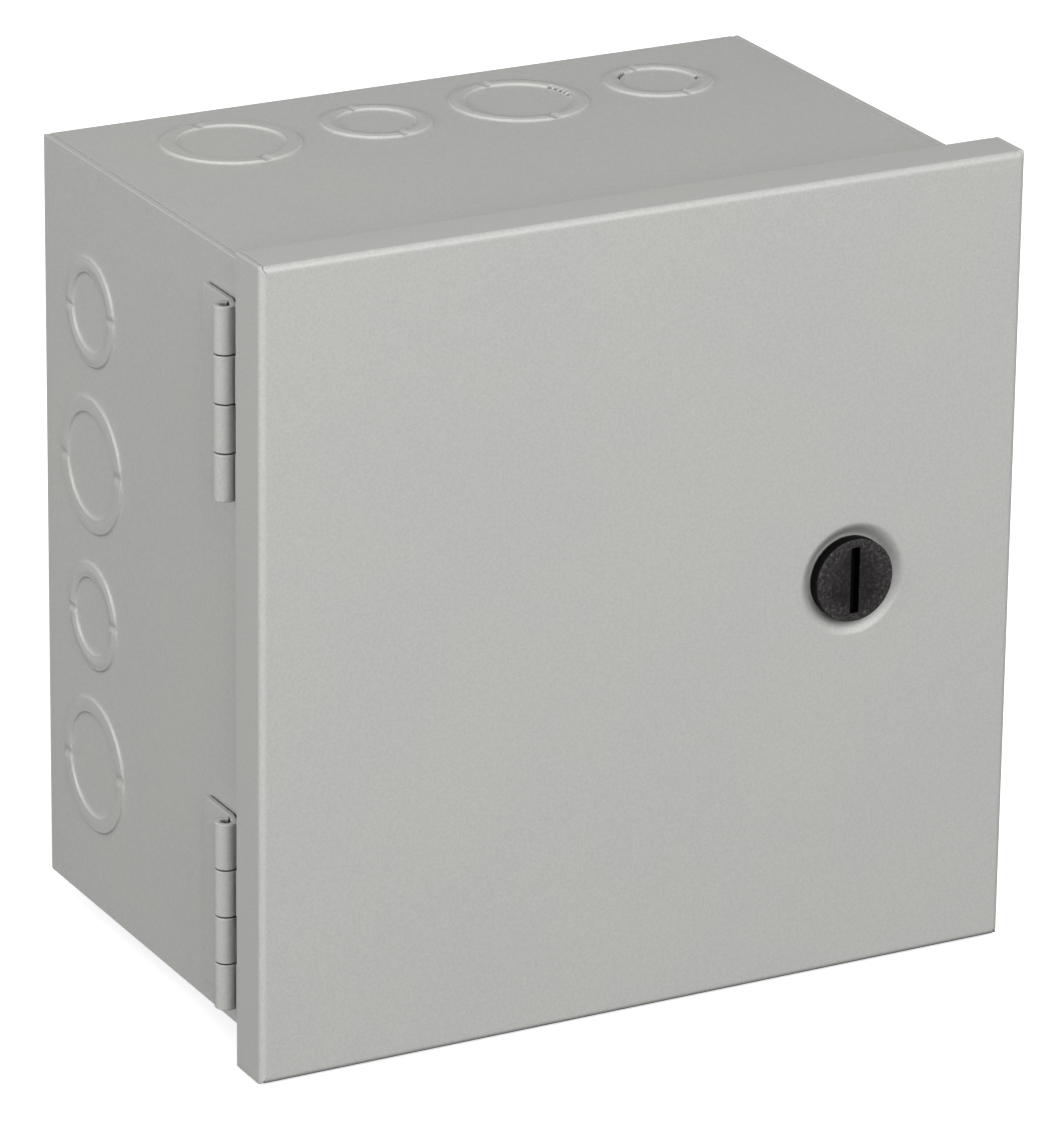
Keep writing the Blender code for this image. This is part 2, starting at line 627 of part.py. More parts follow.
# ---------------------------------------------------------------- neutral and ground bars
def make_terminal_bar(name, centre, length, along, back_y, screw_count, pitch, material):
    """A drilled bar with a row of wire holes across it, each with its clamping screw."""
    along = Vector(along)
    across = Vector((along.z, 0, along.x))
    centre = Vector((centre[0], back_y - 0.004, centre[1]))
    reach = along * length / 2 + across * 0.005 + Vector((0, 0.004, 0))
    bar = block(name, centre - reach, centre + reach)
    wire_radius, screw_radius = 0.0022, 0.0020
    for number in range(1, screw_count + 1):
        place = centre + along * (number - (screw_count + 1) / 2) * pitch
        front = Vector((place.x, back_y - 0.008, place.z))
        cut(bar,
            rod(f"{name}_wire_hole_{number}", place - across * 0.006, place + across * 0.006,
                wire_radius, segments=14),
            rod(f"{name}_screw_hole_{number}", place, front - Vector((0, 0.001, 0)),
                screw_radius + FIT, segments=14))
        screw = turned(f"{name}_screw_{number}", front - Vector((0, 0.0012, 0)), (0, -1, 0),
                       [(0.0018, 0), (0.0018, 0.0033), (0, 0.0033), (0, screw_radius),
                        (-0.0028, screw_radius), (-0.0028, 0)], steps=12)
        finish(screw, material)
    finish(bar, "aluminium")


def make_terminal_bars():
    standoff = 0.010
    make_terminal_bar("neutral_bar", (-0.052, 0.002), 0.084, (0, 0, 1), ON_PAN_Y - standoff - FIT,
                      4, 0.022, "zinc")
    for number, z in enumerate((0.026, -0.022), start=1):
        post = rod(f"neutral_standoff_{number}", (-0.052, ON_PAN_Y, z),
                   (-0.052, ON_PAN_Y - standoff, z), 0.0048, segments=6)
        finish(post, "insulator")
    make_terminal_bar("ground_bar", (0.004, -0.054), 0.080, (1, 0, 0), ON_PAN_Y, 4, 0.020,
                      "ground_green")


# ---------------------------------------------------------------- dead front
def make_dead_front():
    """The inner cover that leaves only the breakers' noses showing, on two posts."""
    cover = open_box(
        "dead_front",
        (DEAD_FRONT_X[0], DEAD_FRONT_Y - DEAD_FRONT_SHEET, -DEAD_FRONT_HALF_HEIGHT),
        (DEAD_FRONT_X[1], DEAD_FRONT_Y - DEAD_FRONT_SHEET + DEAD_FRONT_FLANGE, DEAD_FRONT_HALF_HEIGHT),
        (0, 1, 0), 0.001, DEAD_FRONT_SHEET)
    window_x = BREAKER_NOSE_LENGTH / 2 + 0.0008
    window_z = BREAKER_PITCH + 0.0008
    front = DEAD_FRONT_Y - DEAD_FRONT_SHEET
    cut(cover, block("breaker_window", (-window_x, front - 0.001, -window_z),
                     (window_x, DEAD_FRONT_Y + 0.001, window_z)))
    screw_radius = 0.0015
    for place, (x, z) in POSTS.items():
        hole = screw_radius + FIT
        cut(cover, rod(f"{place}_cover_hole", (x, front - 0.001, z), (x, DEAD_FRONT_Y + 0.001, z), hole,
                       segments=12))
        post_end = DEAD_FRONT_Y + FIT
        post = rod(f"dead_front_post_{place}", (x, ON_PAN_Y, z), (x, post_end, z), 0.0038, segments=6)
        cut(post, rod(f"{place}_post_hole", (x, post_end - 0.001, z), (x, post_end + 0.010, z), hole,
                      segments=12))
        finish(post, "zinc")
        screw = turned(f"dead_front_screw_{place}", (x, front - FIT, z), (0, -1, 0),
                       [(0.0022, 0), (0.0022, 0.004), (0, 0.004), (0, screw_radius),
                        (-0.0075, screw_radius), (-0.0075, 0)])
        finish(screw, "zinc")
    finish(cover, "paint")


# ---------------------------------------------------------------- assembly
door_axis = joint_axis("door_axis", HINGE_AXIS)
latch_axis = joint_axis("latch_axis", (LATCH_X, DOOR_FRONT_Y, 0), door_axis)

make_body()
make_door(door_axis)
make_hinges(door_axis)
make_latch(latch_axis)
make_pan()
make_bus()
make_breaker(1, BREAKER_PITCH / 2)
make_breaker(2, -BREAKER_PITCH / 2)
make_breaker_rail()
make_terminal_bars()
make_dead_front()
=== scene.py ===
"""The detailed look of a small residential load center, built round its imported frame.

Lengths are metres. +X is to the right seen from the front, +Z is up and the door faces -Y.
"""
import json
import math

import bmesh
import bpy
from mathutils import Matrix, Vector


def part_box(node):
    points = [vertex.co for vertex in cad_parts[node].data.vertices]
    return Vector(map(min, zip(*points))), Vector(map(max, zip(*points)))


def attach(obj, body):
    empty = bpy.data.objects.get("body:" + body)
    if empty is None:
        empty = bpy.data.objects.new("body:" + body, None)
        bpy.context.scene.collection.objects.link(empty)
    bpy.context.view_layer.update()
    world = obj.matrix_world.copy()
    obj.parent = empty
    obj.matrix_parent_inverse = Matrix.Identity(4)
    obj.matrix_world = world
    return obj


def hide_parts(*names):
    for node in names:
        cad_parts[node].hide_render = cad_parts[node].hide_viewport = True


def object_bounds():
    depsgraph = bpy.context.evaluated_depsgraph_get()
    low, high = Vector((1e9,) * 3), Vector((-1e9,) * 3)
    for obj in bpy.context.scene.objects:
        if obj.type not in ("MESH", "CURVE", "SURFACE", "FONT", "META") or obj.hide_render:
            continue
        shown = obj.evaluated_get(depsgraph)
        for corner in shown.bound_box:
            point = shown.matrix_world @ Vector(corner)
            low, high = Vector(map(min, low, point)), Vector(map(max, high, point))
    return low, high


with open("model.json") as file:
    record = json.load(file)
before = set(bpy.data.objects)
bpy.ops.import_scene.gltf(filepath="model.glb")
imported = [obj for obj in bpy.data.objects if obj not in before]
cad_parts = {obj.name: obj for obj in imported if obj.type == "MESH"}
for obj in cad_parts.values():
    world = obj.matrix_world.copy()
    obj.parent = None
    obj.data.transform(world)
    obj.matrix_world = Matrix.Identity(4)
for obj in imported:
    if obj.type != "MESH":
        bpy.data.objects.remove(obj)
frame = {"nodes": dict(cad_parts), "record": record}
CAD_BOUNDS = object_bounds()

# ---- camera, light and floor
CAMERA_PLACE = (-0.6414, -1.2533, 0.5059)
CAMERA_AZIMUTH = 28.237  # degrees to the left of the front
CAMERA_ELEVATION = 20.635
CAMERA_ROLL = 0.742  # degrees, right side raised
CAMERA_LENS = 240.0  # mm
CAMERA_SENSOR = 36.0  # mm
SKY_ABOVE = 0.31
SKY_BELOW = 0.04
FLOOR_SIZE = 12.0
FLOOR_GLOW = 0.6
# name: (place, aimed at, size, watts, shows in gloss)
SOFTBOXES = {
    "front": ((0.0, -1.4, 0.75), (0.0, -0.05, 0.0), (1.3, 1.1), 25.3, True),
    "left": ((-1.5, -0.25, 0.55), (0.0, -0.05, 0.0), (0.9, 0.9), 18.2, True),
    "right_rear": ((1.2, 0.8, 0.10), (0.0, -0.05, 0.0), (1.0, 0.30), 7.0, False),
}

# ---- sheet metal
SHEET = 0.0015
SEAM = 0.00001  # gap where a tucked flap meets the flap over it
CORNER_FILL = 0.0005  # how far the end folds run into the side folds at a corner
BODY_FOLD = 0.002
LIP_FOLD = 0.0018
LIP_INNER_X = 0.0657  # free edge of the lip that the cam reaches behind
DOOR_SHEET = 0.0012
DOOR_FOLD = 0.0013
FOLD_STEPS = 9
WALL_HOLE_SPOT = (0.040, 0.060)
WALL_HOLE_RADIUS = 0.0032
HOLE_STEPS = 36
RIM_SOFTENING = 0.0002
CORNER_ANGLE = math.radians(30)
DISH_RADIUS = 0.0115
DISH_FLOOR_RADIUS = 0.0082
DISH_DEPTH = 0.002
LATCH_HOLE_RADIUS = 0.0053
OVERSHOOT = 0.001  # how far a cutting tool reaches past the face that it enters

# ---- hinges
KNUCKLE_COUNT = 4
KNUCKLE_GAP = 0.0003
LEAF = 0.0012
BODY_LEAF_FRONT_Y = -0.0850
DOOR_LEAF_REAR_Y = -0.0936
CURL_RADIUS = 0.00165  # to the middle of the leaf's thickness
CURL_TURN = 318.0  # degrees that a knuckle wraps round its pin
CURL_STEPS = 30
CURL_LEAD_IN = 6  # steps of the bend from the plate into the curl
PIN_RECESS = 0.0009
PIN_EASE = 0.0003

# ---- latch
LATCH_SLOT = (0.0020, 0.0133, 0.0022)  # width, length, depth
LATCH_HEAD_ROUND = 0.00025
LATCH_RUB_RADII = (0.0045, 0.0080)  # where the rubbed rim of its face begins and is full
LATCH_STEM_RADIUS = 0.005
LATCH_SQUARE = 0.0032  # half the width of the drive that carries the cam
LATCH_BORE = (0.0019, 0.006)  # radius and depth
RETAINER_BORE = 0.0053
RETAINER_SLITS = 6
CAM_TIP_SHARE = 0.7  # radius of its tip, as a share of its root's
FIT = 0.0003  # clearance between parts that slide together

# ---- fasteners
# part of a node's name: (head height, shank radius, shape of the recess, way the head faces along Y)
SCREW_KINDS = {
    "latch_cam_screw": (0.0025, 0.0016, "cross", 1),
    "dead_front_screw": (0.0022, 0.0015, "slot", -1),
    "neutral_bar_screw": (0.0018, 0.0020, "slot", -1),
    "ground_bar_screw": (0.0018, 0.0020, "slot", -1),
    "load_screw": (0.0020, 0.0020, "cross", -1),
}
THREAD_PITCH = 0.0007
THREAD_DEPTH_SHARE = 0.35  # of the pitch
COLLAR_LENGTH = 0.0114
COLLAR_EASE = 0.0005
STUD_RADIUS = 0.0025
NUT_EASE = 0.0006
LUG_SOCKET_DEPTH = 0.004

# ---- interior
PAN_CORNER = 0.004
SPARE_HOLE_RADIUS = 0.0017
BASE_SLOTS = 9
BASE_SLOT_DEPTH = 0.0022
WIRE_RADIUS = {"line": 0.0042, "bar": 0.0022}
WIRE_SCREW_RADIUS = {"line": 0.0037, "bar": 0.0023}

# ---- breakers and dead front
HANDLE_PIVOT_Y = -0.074
HANDLE_DRUM_RADIUS = 0.0085
HANDLE_HALF = 0.004
HANDLE_OFF_ANGLE = 20.0  # degrees that the lever leans while it is off
TRUNNION_RADIUS = 0.002
LEVER_HALF = 0.0037
LEVER_START = 0.005
LEVER_TIP = 0.019
LEVER_TIP_ROUND = 0.0009
RIDGE_PITCH = 0.0018
RIDGE_DEPTH = 0.00035
RIVET_SPOTS = ((-0.033, -0.070), (-0.033, -0.034), (0.020, -0.034))
RIVET_RADIUS = 0.0019
RIVET_WELL = 0.0005
LABEL_RECESS = 0.0003
LABEL_HALF = 0.0036
LABEL_SPAN = (0.0125, 0.0200)
GROOVE_SPANS = ((-0.0195, -0.0185), (-0.0173, -0.0163), (-0.0151, -0.0141))
DEAD_FRONT_SHEET = 0.0012
DEAD_FRONT_FOLD = 0.0014
WINDOW = (0.0228, 0.0262)  # half its width and half its height
WINDOW_BEAD = 0.0005
# margin round the window, and the share of the bead's height there
WINDOW_BEAD_RINGS = ((0.0034, 0.0), (0.0029, 0.6), (0.0023, 1.0), (0.0016, 1.0), (0.0010, 0.6),
                     (0.0005, 0.0), (0.0, 0.0))
CAD_SOFTENING = 0.00025  # edge rounding on the frame pieces that stay
WELD_DISTANCE = 0.000004

# ---- knockouts
KNOCKOUT_RADIUS = {"small": 0.0108, "large": 0.0136}
KNOCKOUT_BAND = 0.0031
KNOCKOUT_RISE = 0.00045
KNOCKOUT_SLOPE = 0.0006
SLOPE_PLACES = (-1.0, -0.6, -0.2, 0.2, 0.6, 1.0)  # rings across a slope, in half slopes
KNOCKOUT_SHEAR = 0.00007  # depth of the fine line that the punch leaves along each slope
SHEAR_OFFSET = 0.00012  # from a slope's end to the line
SHEAR_WIDTH = 0.00014
TORN_DEPTH = SHEET * 0.8
KNOCKOUT_STEPS = 144
OPEN_KNOCKOUT_STEPS = 180  # finer where a slug has sheared right through
TIE_ANGLE = 6.0
TIE_HALF_WIDTH = 2.0
TIE_RAMP = 3.0
TIE_DROP = 0.75  # share of the rise that is missing at a tie
# flap and number of a knockout: the turns, in degrees, over which its slug has sheared right through
OPEN_SHEARS = {
    ("top", "4"): ((210, 238), (72, 82)),
    ("top", "3"): ((84, 86), (92, 94), (99, 103), (108, 110), (116, 118)),
}


# ---- materials
PAINTED_GAP_SHADE = "painted_gap_shade"  # vertex attribute: 1 where a knockout's shear is open, painted near black there as painted shade in the gap
PAINTED_SHADE_REACH = 0.003  # metres over which nearby surfaces darken the coat's colour as painted shade
PAINTED_SHADE_SAMPLES = 6
PAINTED_SHADE_TONES = [(0.12, 0.1), (0.4, 0.82), (0.85, 1.0)]
# name: (roughness, metallic, tone noise, tones, gloss noise, its roughness, relief noise, its depth)
FINISHES = {
    # bright plate with a faint warm and blue drift
    "zinc": (0.34, 1.0, (0.012, 3.0), [(0.3, (0.56, 0.57, 0.58)), (0.7, (0.68, 0.67, 0.62))],
             (0.002, 4.0), (0.26, 0.46), (0.0004, 2.0, (1.0, 1.0, 0.12)), 0.000008),
    # black thermoset with the grain of its mould
    "breaker_plastic": (0.45, 0.0, (0.0004, 3.0),
                        [(0.3, (0.012, 0.012, 0.013)), (0.7, (0.022, 0.022, 0.023))],
                        (0.003, 3.0), (0.38, 0.55), (0.0004, 3.0), 0.00002),
    # dark brown-black moulding
    "insulator": (0.55, 0.0, (0.0008, 4.0),
                  [(0.3, (0.040, 0.038, 0.038)), (0.7, (0.060, 0.058, 0.058))],
                  (0.0008, 4.0), (0.48, 0.64), (0.0008, 4.0), 0.00003),
    # drawn bar with lines along its length and a dull skin
    "aluminium": (0.36, 1.0, (0.01, 3.0), [(0.3, (0.66, 0.665, 0.675)), (0.7, (0.76, 0.76, 0.75))],
                  (0.0005, 2.0, (1.0, 1.0, 0.04)), (0.30, 0.48),
                  (0.0005, 2.0, (1.0, 1.0, 0.04)), 0.00001),
    # rolled bar, lightly toned by handling
    "copper": (0.3, 1.0, (0.008, 4.0), [(0.3, (0.62, 0.29, 0.17)), (0.6, (0.79, 0.42, 0.28))],
               (0.003, 4.0), (0.24, 0.42), (0.0004, 2.0, (1.0, 1.0, 0.08)), 0.000008),
    # green-dyed zinc plate
    "ground_green": (0.4, 0.7, (0.003, 3.0), [(0.3, (0.02, 0.16, 0.055)), (0.7, (0.05, 0.27, 0.10))],
                     (0.003, 3.0), (0.3, 0.5), (0.0005, 2.0), 0.00001),
}


def feed(tree, socket, value):
    if isinstance(value, bpy.types.NodeSocket):
        tree.links.new(value, socket)
    else:
        socket.default_value = value


def add_node(tree, kind, **inputs):
    made = tree.nodes.new(kind)
    for socket, value in inputs.items():
        feed(tree, made.inputs[socket.replace("_", " ")], value)
    return made


class Shader:
    """A Principled material and short calls for the nodes behind its sockets."""

    def __init__(self, name, roughness, metallic=0.0, **constants):
        self.material = bpy.data.materials.new(name)
        self.material.use_nodes = True
        self.tree = self.material.node_tree
        self.surface = self.tree.nodes["Principled BSDF"]
        constants.update(Roughness=roughness, Metallic=metallic)
        for socket, value in constants.items():
            self.surface.inputs[socket.replace("_", " ")].default_value = value
        self.place = self.tree.nodes.new("ShaderNodeTexCoord").outputs["Object"]

    def node(self, kind, **inputs):
        return add_node(self.tree, kind, **inputs)

    def noise(self, size, detail=2.0, stretch=None, roughness=0.5):
        """Noise with features of about that size in metres, drawn out along an axis by stretch."""
        place = self.place
        if stretch:
            mapping = self.node("ShaderNodeMapping", Vector=self.place)
            mapping.inputs["Scale"].default_value = stretch
            place = mapping.outputs["Vector"]
        made = self.node("ShaderNodeTexNoise", Vector=place, Scale=1.0 / size, Detail=detail,
                         Roughness=roughness)
        return made.outputs["Fac"]

    def ramp(self, factor, stops):
        """Colours or grey levels at places along a factor."""
        made = self.node("ShaderNodeValToRGB", Fac=factor)
        elements = made.color_ramp.elements
        while len(elements) < len(stops):
            elements.new(0.5)
        for element, (place, value) in zip(elements, stops):
            element.position = place
            element.color = (*value, 1.0) if isinstance(value, tuple) else (value, value, value, 1.0)
        return made.outputs["Color"]

    def mix(self, factor, first, second, blend="MIX"):
        made = self.tree.nodes.new("ShaderNodeMix")
        made.data_type = "RGBA"
        made.blend_type = blend
        feed(self.tree, made.inputs["Factor"], factor)
        for socket, value in (("A", first), ("B", second)):
            colour = (*value, 1.0) if isinstance(value, tuple) else value
            end = next(s for s in made.inputs if s.name == socket and s.type == "RGBA")
            feed(self.tree, end, colour)
        return next(s for s in made.outputs if s.type == "RGBA")

    def colour(self, value):
        self.tree.links.new(value, self.surface.inputs["Base Color"])

    def vary_roughness(self, factor, low, high):
        made = self.node("ShaderNodeMapRange", Value=factor, To_Min=low, To_Max=high)
        self.tree.links.new(made.outputs["Result"], self.surface.inputs["Roughness"])

    def bump(self, *layers):
        """Each layer is (height factor, depth in metres); layers add up."""
        normal = None
        for factor, depth in layers:
            made = self.node("ShaderNodeBump", Height=factor, Distance=depth, Strength=1.0)
            if normal:
                self.tree.links.new(normal, made.inputs["Normal"])
            normal = made.outputs["Normal"]
        self.tree.links.new(normal, self.surface.inputs["Normal"])


def make_paint():
    """Light grey powder coat: a fine orange peel with a faint speckle, darkened by painted shade in
    crevices and gaps.
    """
    coat = Shader("paint", 0.42)
    speckle = coat.noise(0.0005, 3.0)
    cloud = coat.noise(0.03, 2.0)
    fine = coat.ramp(speckle, [(0.35, (0.432, 0.434, 0.420)), (0.65, (0.478, 0.479, 0.466))])
    tint = coat.ramp(cloud, [(0.3, (0.985, 0.985, 0.99)), (0.7, (1.0, 1.0, 0.985))])
    # painted shade: ambient occlusion darkens the coat's colour in crevices, seams and gaps
    reach = coat.node("ShaderNodeAmbientOcclusion", Distance=PAINTED_SHADE_REACH)
    reach.samples = PAINTED_SHADE_SAMPLES
    painted_shade = coat.ramp(reach.outputs["AO"], PAINTED_SHADE_TONES)
    coat_with_painted_shade = coat.mix(1.0, coat.mix(1.0, fine, tint, "MULTIPLY"), painted_shade, "MULTIPLY")
    # painted shade: near-black colour where a knockout's shear is open, in place of the shadow
    # inside the gap
    gap_shade_mask = coat.node("ShaderNodeAttribute")
    gap_shade_mask.attribute_name = PAINTED_GAP_SHADE
    coat.colour(coat.mix(gap_shade_mask.outputs["Fac"], coat_with_painted_shade, (0.006, 0.006, 0.006)))
    coat.vary_roughness(coat.noise(0.0009, 2.0), 0.36, 0.50)
    coat.bump((coat.noise(0.0016, 1.0), 0.00003), (speckle, 0.00002))
    return coat.material


def make_latch_plastic():
    """Black moulded plastic whose face is scuffed to a mottled charcoal with paler flecks; its side
    is unworn black, darkened further as painted shade.
    """
    plastic = Shader("latch_plastic", 0.5, Specular_IOR_Level=0.08)
    flecks = plastic.noise(0.0007, 5.0, roughness=0.75)
    cloud = plastic.noise(0.004, 2.0)
    worn = plastic.ramp(flecks, [(0.36, (0.023, 0.020, 0.021)), (0.55, (0.038, 0.034, 0.035)),
                                 (0.66, (0.075, 0.070, 0.070)), (0.74, (0.15, 0.14, 0.14))])
    tone = plastic.ramp(cloud, [(0.3, 0.5), (0.7, 0.85)])
    scuffed = plastic.mix(1.0, worn, tone, "MULTIPLY")
    low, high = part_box("latch_rotor")
    front = low.y
    centre = ((low.x + high.x) / 2, front, (low.z + high.z) / 2)
    place = plastic.node("ShaderNodeSeparateXYZ", Vector=plastic.place)
    spread = plastic.node("ShaderNodeVectorMath", Vector=plastic.place)
    spread.operation = "DISTANCE"
    spread.inputs[1].default_value = centre
    rub_start, rub_full = LATCH_RUB_RADII
    near_rim = plastic.node("ShaderNodeMapRange", Value=spread.outputs["Value"], From_Min=rub_start,
                            From_Max=rub_full, To_Min=0.0, To_Max=0.5)
    rubbed = plastic.ramp(flecks, [(0.4, (0.028, 0.026, 0.026)), (0.56, (0.075, 0.070, 0.069)),
                                   (0.68, (0.22, 0.21, 0.205))])
    scuffed = plastic.mix(near_rim.outputs["Result"], scuffed, rubbed)
    # the side behind the face: unworn black plastic, painted darker than real plastic as painted
    # shade
    face = plastic.node("ShaderNodeMapRange", Value=place.outputs["Y"], From_Min=front + 0.0001,
                        From_Max=front + 0.0005, To_Min=1.0, To_Max=0.0)
    plastic.colour(plastic.mix(face.outputs["Result"], (0.002, 0.002, 0.002), scuffed))
    plastic.vary_roughness(flecks, 0.42, 0.68)
    plastic.bump((flecks, 0.00004))
    return plastic.material


def make_finish(name, roughness, metallic, tone, tones, gloss, gloss_range, relief, depth):
    """A finish whose tone, gloss and fine relief each follow a noise."""
    finish = Shader(name, roughness, metallic)
    finish.colour(finish.ramp(finish.noise(*tone), tones))
    finish.vary_roughness(finish.noise(*gloss), *gloss_range)
    finish.bump((finish.noise(*relief), depth))
    return finish.material


MATERIALS = {name: make_finish(name, *finish) for name, finish in FINISHES.items()}
MATERIALS["paint"] = make_paint()
MATERIALS["latch_plastic"] = make_latch_plastic()


# ---- pieces
REPLACED = set()


def body_of(node):
    bodies = frame["record"]["behaviour"]["bodies"]
    return next(body for body, members in bodies.items() if node in members)


def slot_of(node):
    subparts = frame["record"]["subparts"]
    return next(part["material_slot"] for part in subparts if part["node"] == node)


def stand_for(piece, node):
    """Let a detailed piece take the place, body and finish of a frame node."""
    slot = slot_of(node)
    piece.data.materials.clear()
    piece.data.materials.append(MATERIALS[slot])
    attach(piece, body_of(node))
    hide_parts(node)
    REPLACED.add(node)


def linked(name, data):
    """A new object in the scene for a mesh, a light or a camera."""
    made = bpy.data.objects.new(name, data)
    bpy.context.scene.collection.objects.link(made)
    return made


def round_edges(piece, name, width, method):
    bevel = piece.modifiers.new(name, "BEVEL")
    bevel.width = width
    bevel.segments = 2
    bevel.limit_method = method
    bevel.use_clamp_overlap = True
    return bevel


def keep_flats(piece):
    flats = piece.modifiers.new("flat_faces", "WEIGHTED_NORMAL")
    flats.weight = 100
    return flats


def soften(piece, width, angle=35.0):
    """Round the sharp edges and keep the flats flat."""
    piece.data.shade_smooth()
    bevel = round_edges(piece, "softened_edges", width, "ANGLE")
    bevel.angle_limit = math.radians(angle)
    keep_flats(piece).keep_sharp = True


def stand_softened(piece, node, width, angle=35.0):
    soften(piece, width, angle)
    stand_for(piece, node)


class Sheet:
    """Sheet metal: a skin in which every vertex knows its twin on the other side."""

    def __init__(self):
        self.mesh = bmesh.new()
        self.twin = self.mesh.verts.layers.float_vector.new("twin")
        # marks the vertices that get the painted gap shade
        self.painted_gap_shade = self.mesh.verts.layers.float.new(PAINTED_GAP_SHADE)

    def vertex(self, outer, inner):
        made = self.mesh.verts.new(outer)
        made[self.twin] = inner
        return made

    def strip(self, rows):
        """Faces between rows of (outer, inner) points, each row with as many as the first."""
        grid = [[self.vertex(*pair) for pair in row] for row in rows]
        for row, following in zip(grid, grid[1:]):
            for left in range(len(row) - 1):
                corners = (row[left], row[left + 1], following[left + 1], following[left])
                self.mesh.faces.new(corners)

    def plate(self, place, outline, thickness, reliefs=()):
        """A flat panel with round reliefs let in. place(u, v, height) gives a point in space."""
        loops = [[self.vertex(place(u, v, 0), place(u, v, -thickness)) for u, v in outline]]
        for relief in reliefs:
            nested = relief["loops"] if "loops" in relief else self.circles(**relief)
            loops.append(self.nest(place, thickness, nested, relief.get("is_open", False)))
        edges = []
        for loop in loops:
            for first, second in zip(loop, loop[1:] + loop[:1]):
                pair = (first, second)
                edges.append(self.mesh.edges.get(pair) or self.mesh.edges.new(pair))
        bmesh.ops.triangle_fill(self.mesh, use_beauty=True, edges=edges)

    @staticmethod
    def circles(centre, radii, heights, steps, is_open=False):
        """Circles of (u, v, outer height, inner height) round a centre, outermost first."""
        turns = [2 * math.pi * step / steps for step in range(steps)]
        return [[(centre[0] + radius * math.cos(turn), centre[1] + radius * math.sin(turn),
                  *heights(radius, turn)) for turn in turns] for radius in radii]

    def nest(self, place, thickness, nested, is_open):
        """Faces between nested loops, and over the last unless it is open. Returns the outermost."""
        rings = []
        for loop in nested:
            ring = []
            for u, v, outer, inner in loop:
                made = self.vertex(place(u, v, outer), place(u, v, inner - thickness))
                # 1 where the slug is sunk through, so that the painted gap shade goes there
                made[self.painted_gap_shade] = 1.0 if inner - outer > thickness / 2 else 0.0
                ring.append(made)
            rings.append(ring)
        for ring, following in zip(rings, rings[1:]):
            for step in range(len(ring)):
                after = (step + 1) % len(ring)
                self.mesh.faces.new((ring[step], ring[after], following[after], following[step]))
        if not is_open:
            self.mesh.faces.new(rings[-1])
        return rings[0]

    def solid(self, name):
        """Weld the skin, give it its other side and its rims, and soften the rims."""
        skin = self.mesh
        bmesh.ops.remove_doubles(skin, verts=skin.verts, dist=0.000002)
        weight = skin.edges.layers.float.new("bevel_weight_edge")
        faces = list(skin.faces)
        rims = [edge for edge in skin.edges if edge.is_boundary]
        twins = {vertex: skin.verts.new(vertex[self.twin]) for vertex in list(skin.verts)}
        for face in faces:
            skin.faces.new([twins[vertex] for vertex in reversed(face.verts)])
        for rim in rims:
            first, second = rim.verts
            skin.faces.new((first, second, twins[second], twins[first]))
            rim[weight] = 1.0
            skin.edges.get((twins[first], twins[second]))[weight] = 1.0
        bmesh.ops.recalc_face_normals(skin, faces=skin.faces)
        for first, second in twins.items():
            across = skin.edges.get((first, second))
            if across and across.calc_face_angle(0.0) > CORNER_ANGLE:
                across[weight] = 1.0
        piece = from_builder(skin, name)
        piece.data.shade_smooth()
        bevel = round_edges(piece, "softened_rims", RIM_SOFTENING, "WEIGHT")
        bevel.use_clamp_overlap = False
        keep_flats(piece)
        return piece


def from_builder(builder, name):
    """A linked object from a bmesh, with its faces pointing out."""
    bmesh.ops.recalc_face_normals(builder, faces=builder.faces)
    data = bpy.data.meshes.new(name)
    builder.to_mesh(data)
    builder.free()
    return linked(name, data)


def block(name, low, high):
    """A box between two corners."""
    low, high = Vector(low), Vector(high)
    builder = bmesh.new()
    bmesh.ops.create_cube(builder, size=1.0)
    bmesh.ops.scale(builder, vec=high - low, verts=builder.verts)
    bmesh.ops.translate(builder, vec=(low + high) / 2, verts=builder.verts)
    return from_builder(builder, name)


def rod(name, start, end, radius, end_radius=None, segments=48):
    """A cylinder, cone or regular prism between two points."""
    start, end = Vector(start), Vector(end)
    builder = bmesh.new()
    bmesh.ops.create_cone(
        builder, cap_ends=True, segments=segments, radius1=radius,
        radius2=radius if end_radius is None else end_radius, depth=(end - start).length)
    turn = Vector((0, 0, 1)).rotation_difference(end - start).to_matrix().to_4x4()
    place = Matrix.Translation((start + end) / 2) @ turn
    bmesh.ops.transform(builder, matrix=place, verts=builder.verts)
    return from_builder(builder, name)


def drill(x, z, start_y, end_y, radius, segments=48):
    """A cutting rod along Y."""
    return rod("drill", (x, start_y, z), (x, end_y, z), radius, segments=segments)


def turned(name, origin, axis, profile, steps=64):
    """A turned piece. The profile lists (distance along the axis, radius) from end to end."""
    builder = bmesh.new()
    across = Vector(axis).orthogonal().normalized()
    origin, axis = Vector(origin), Vector(axis)
    points = [origin + axis * along + across * radius for along, radius in profile]
    corners = [builder.verts.new(point) for point in points]
    edges = [builder.edges.new(pair) for pair in zip(corners, corners[1:])]
    bmesh.ops.spin(builder, geom=corners + edges, cent=origin, axis=axis, angle=2 * math.pi,
                   steps=steps, use_merge=True)
    bmesh.ops.remove_doubles(builder, verts=builder.verts, dist=0.000001)
    return from_builder(builder, name)


def prism(name, outline, place, depth):
    """A flat outline drawn out by depth. place(u, v, height) gives a point in space."""
    builder = bmesh.new()
    near = [builder.verts.new(place(u, v, 0)) for u, v in outline]
    far = [builder.verts.new(place(u, v, depth)) for u, v in outline]
    builder.faces.new(near)
    builder.faces.new(far[::-1])
    for index in range(len(outline)):
        after = (index + 1) % len(outline)
        builder.faces.new((near[index], near[after], far[after], far[index]))
    return from_builder(builder, name)


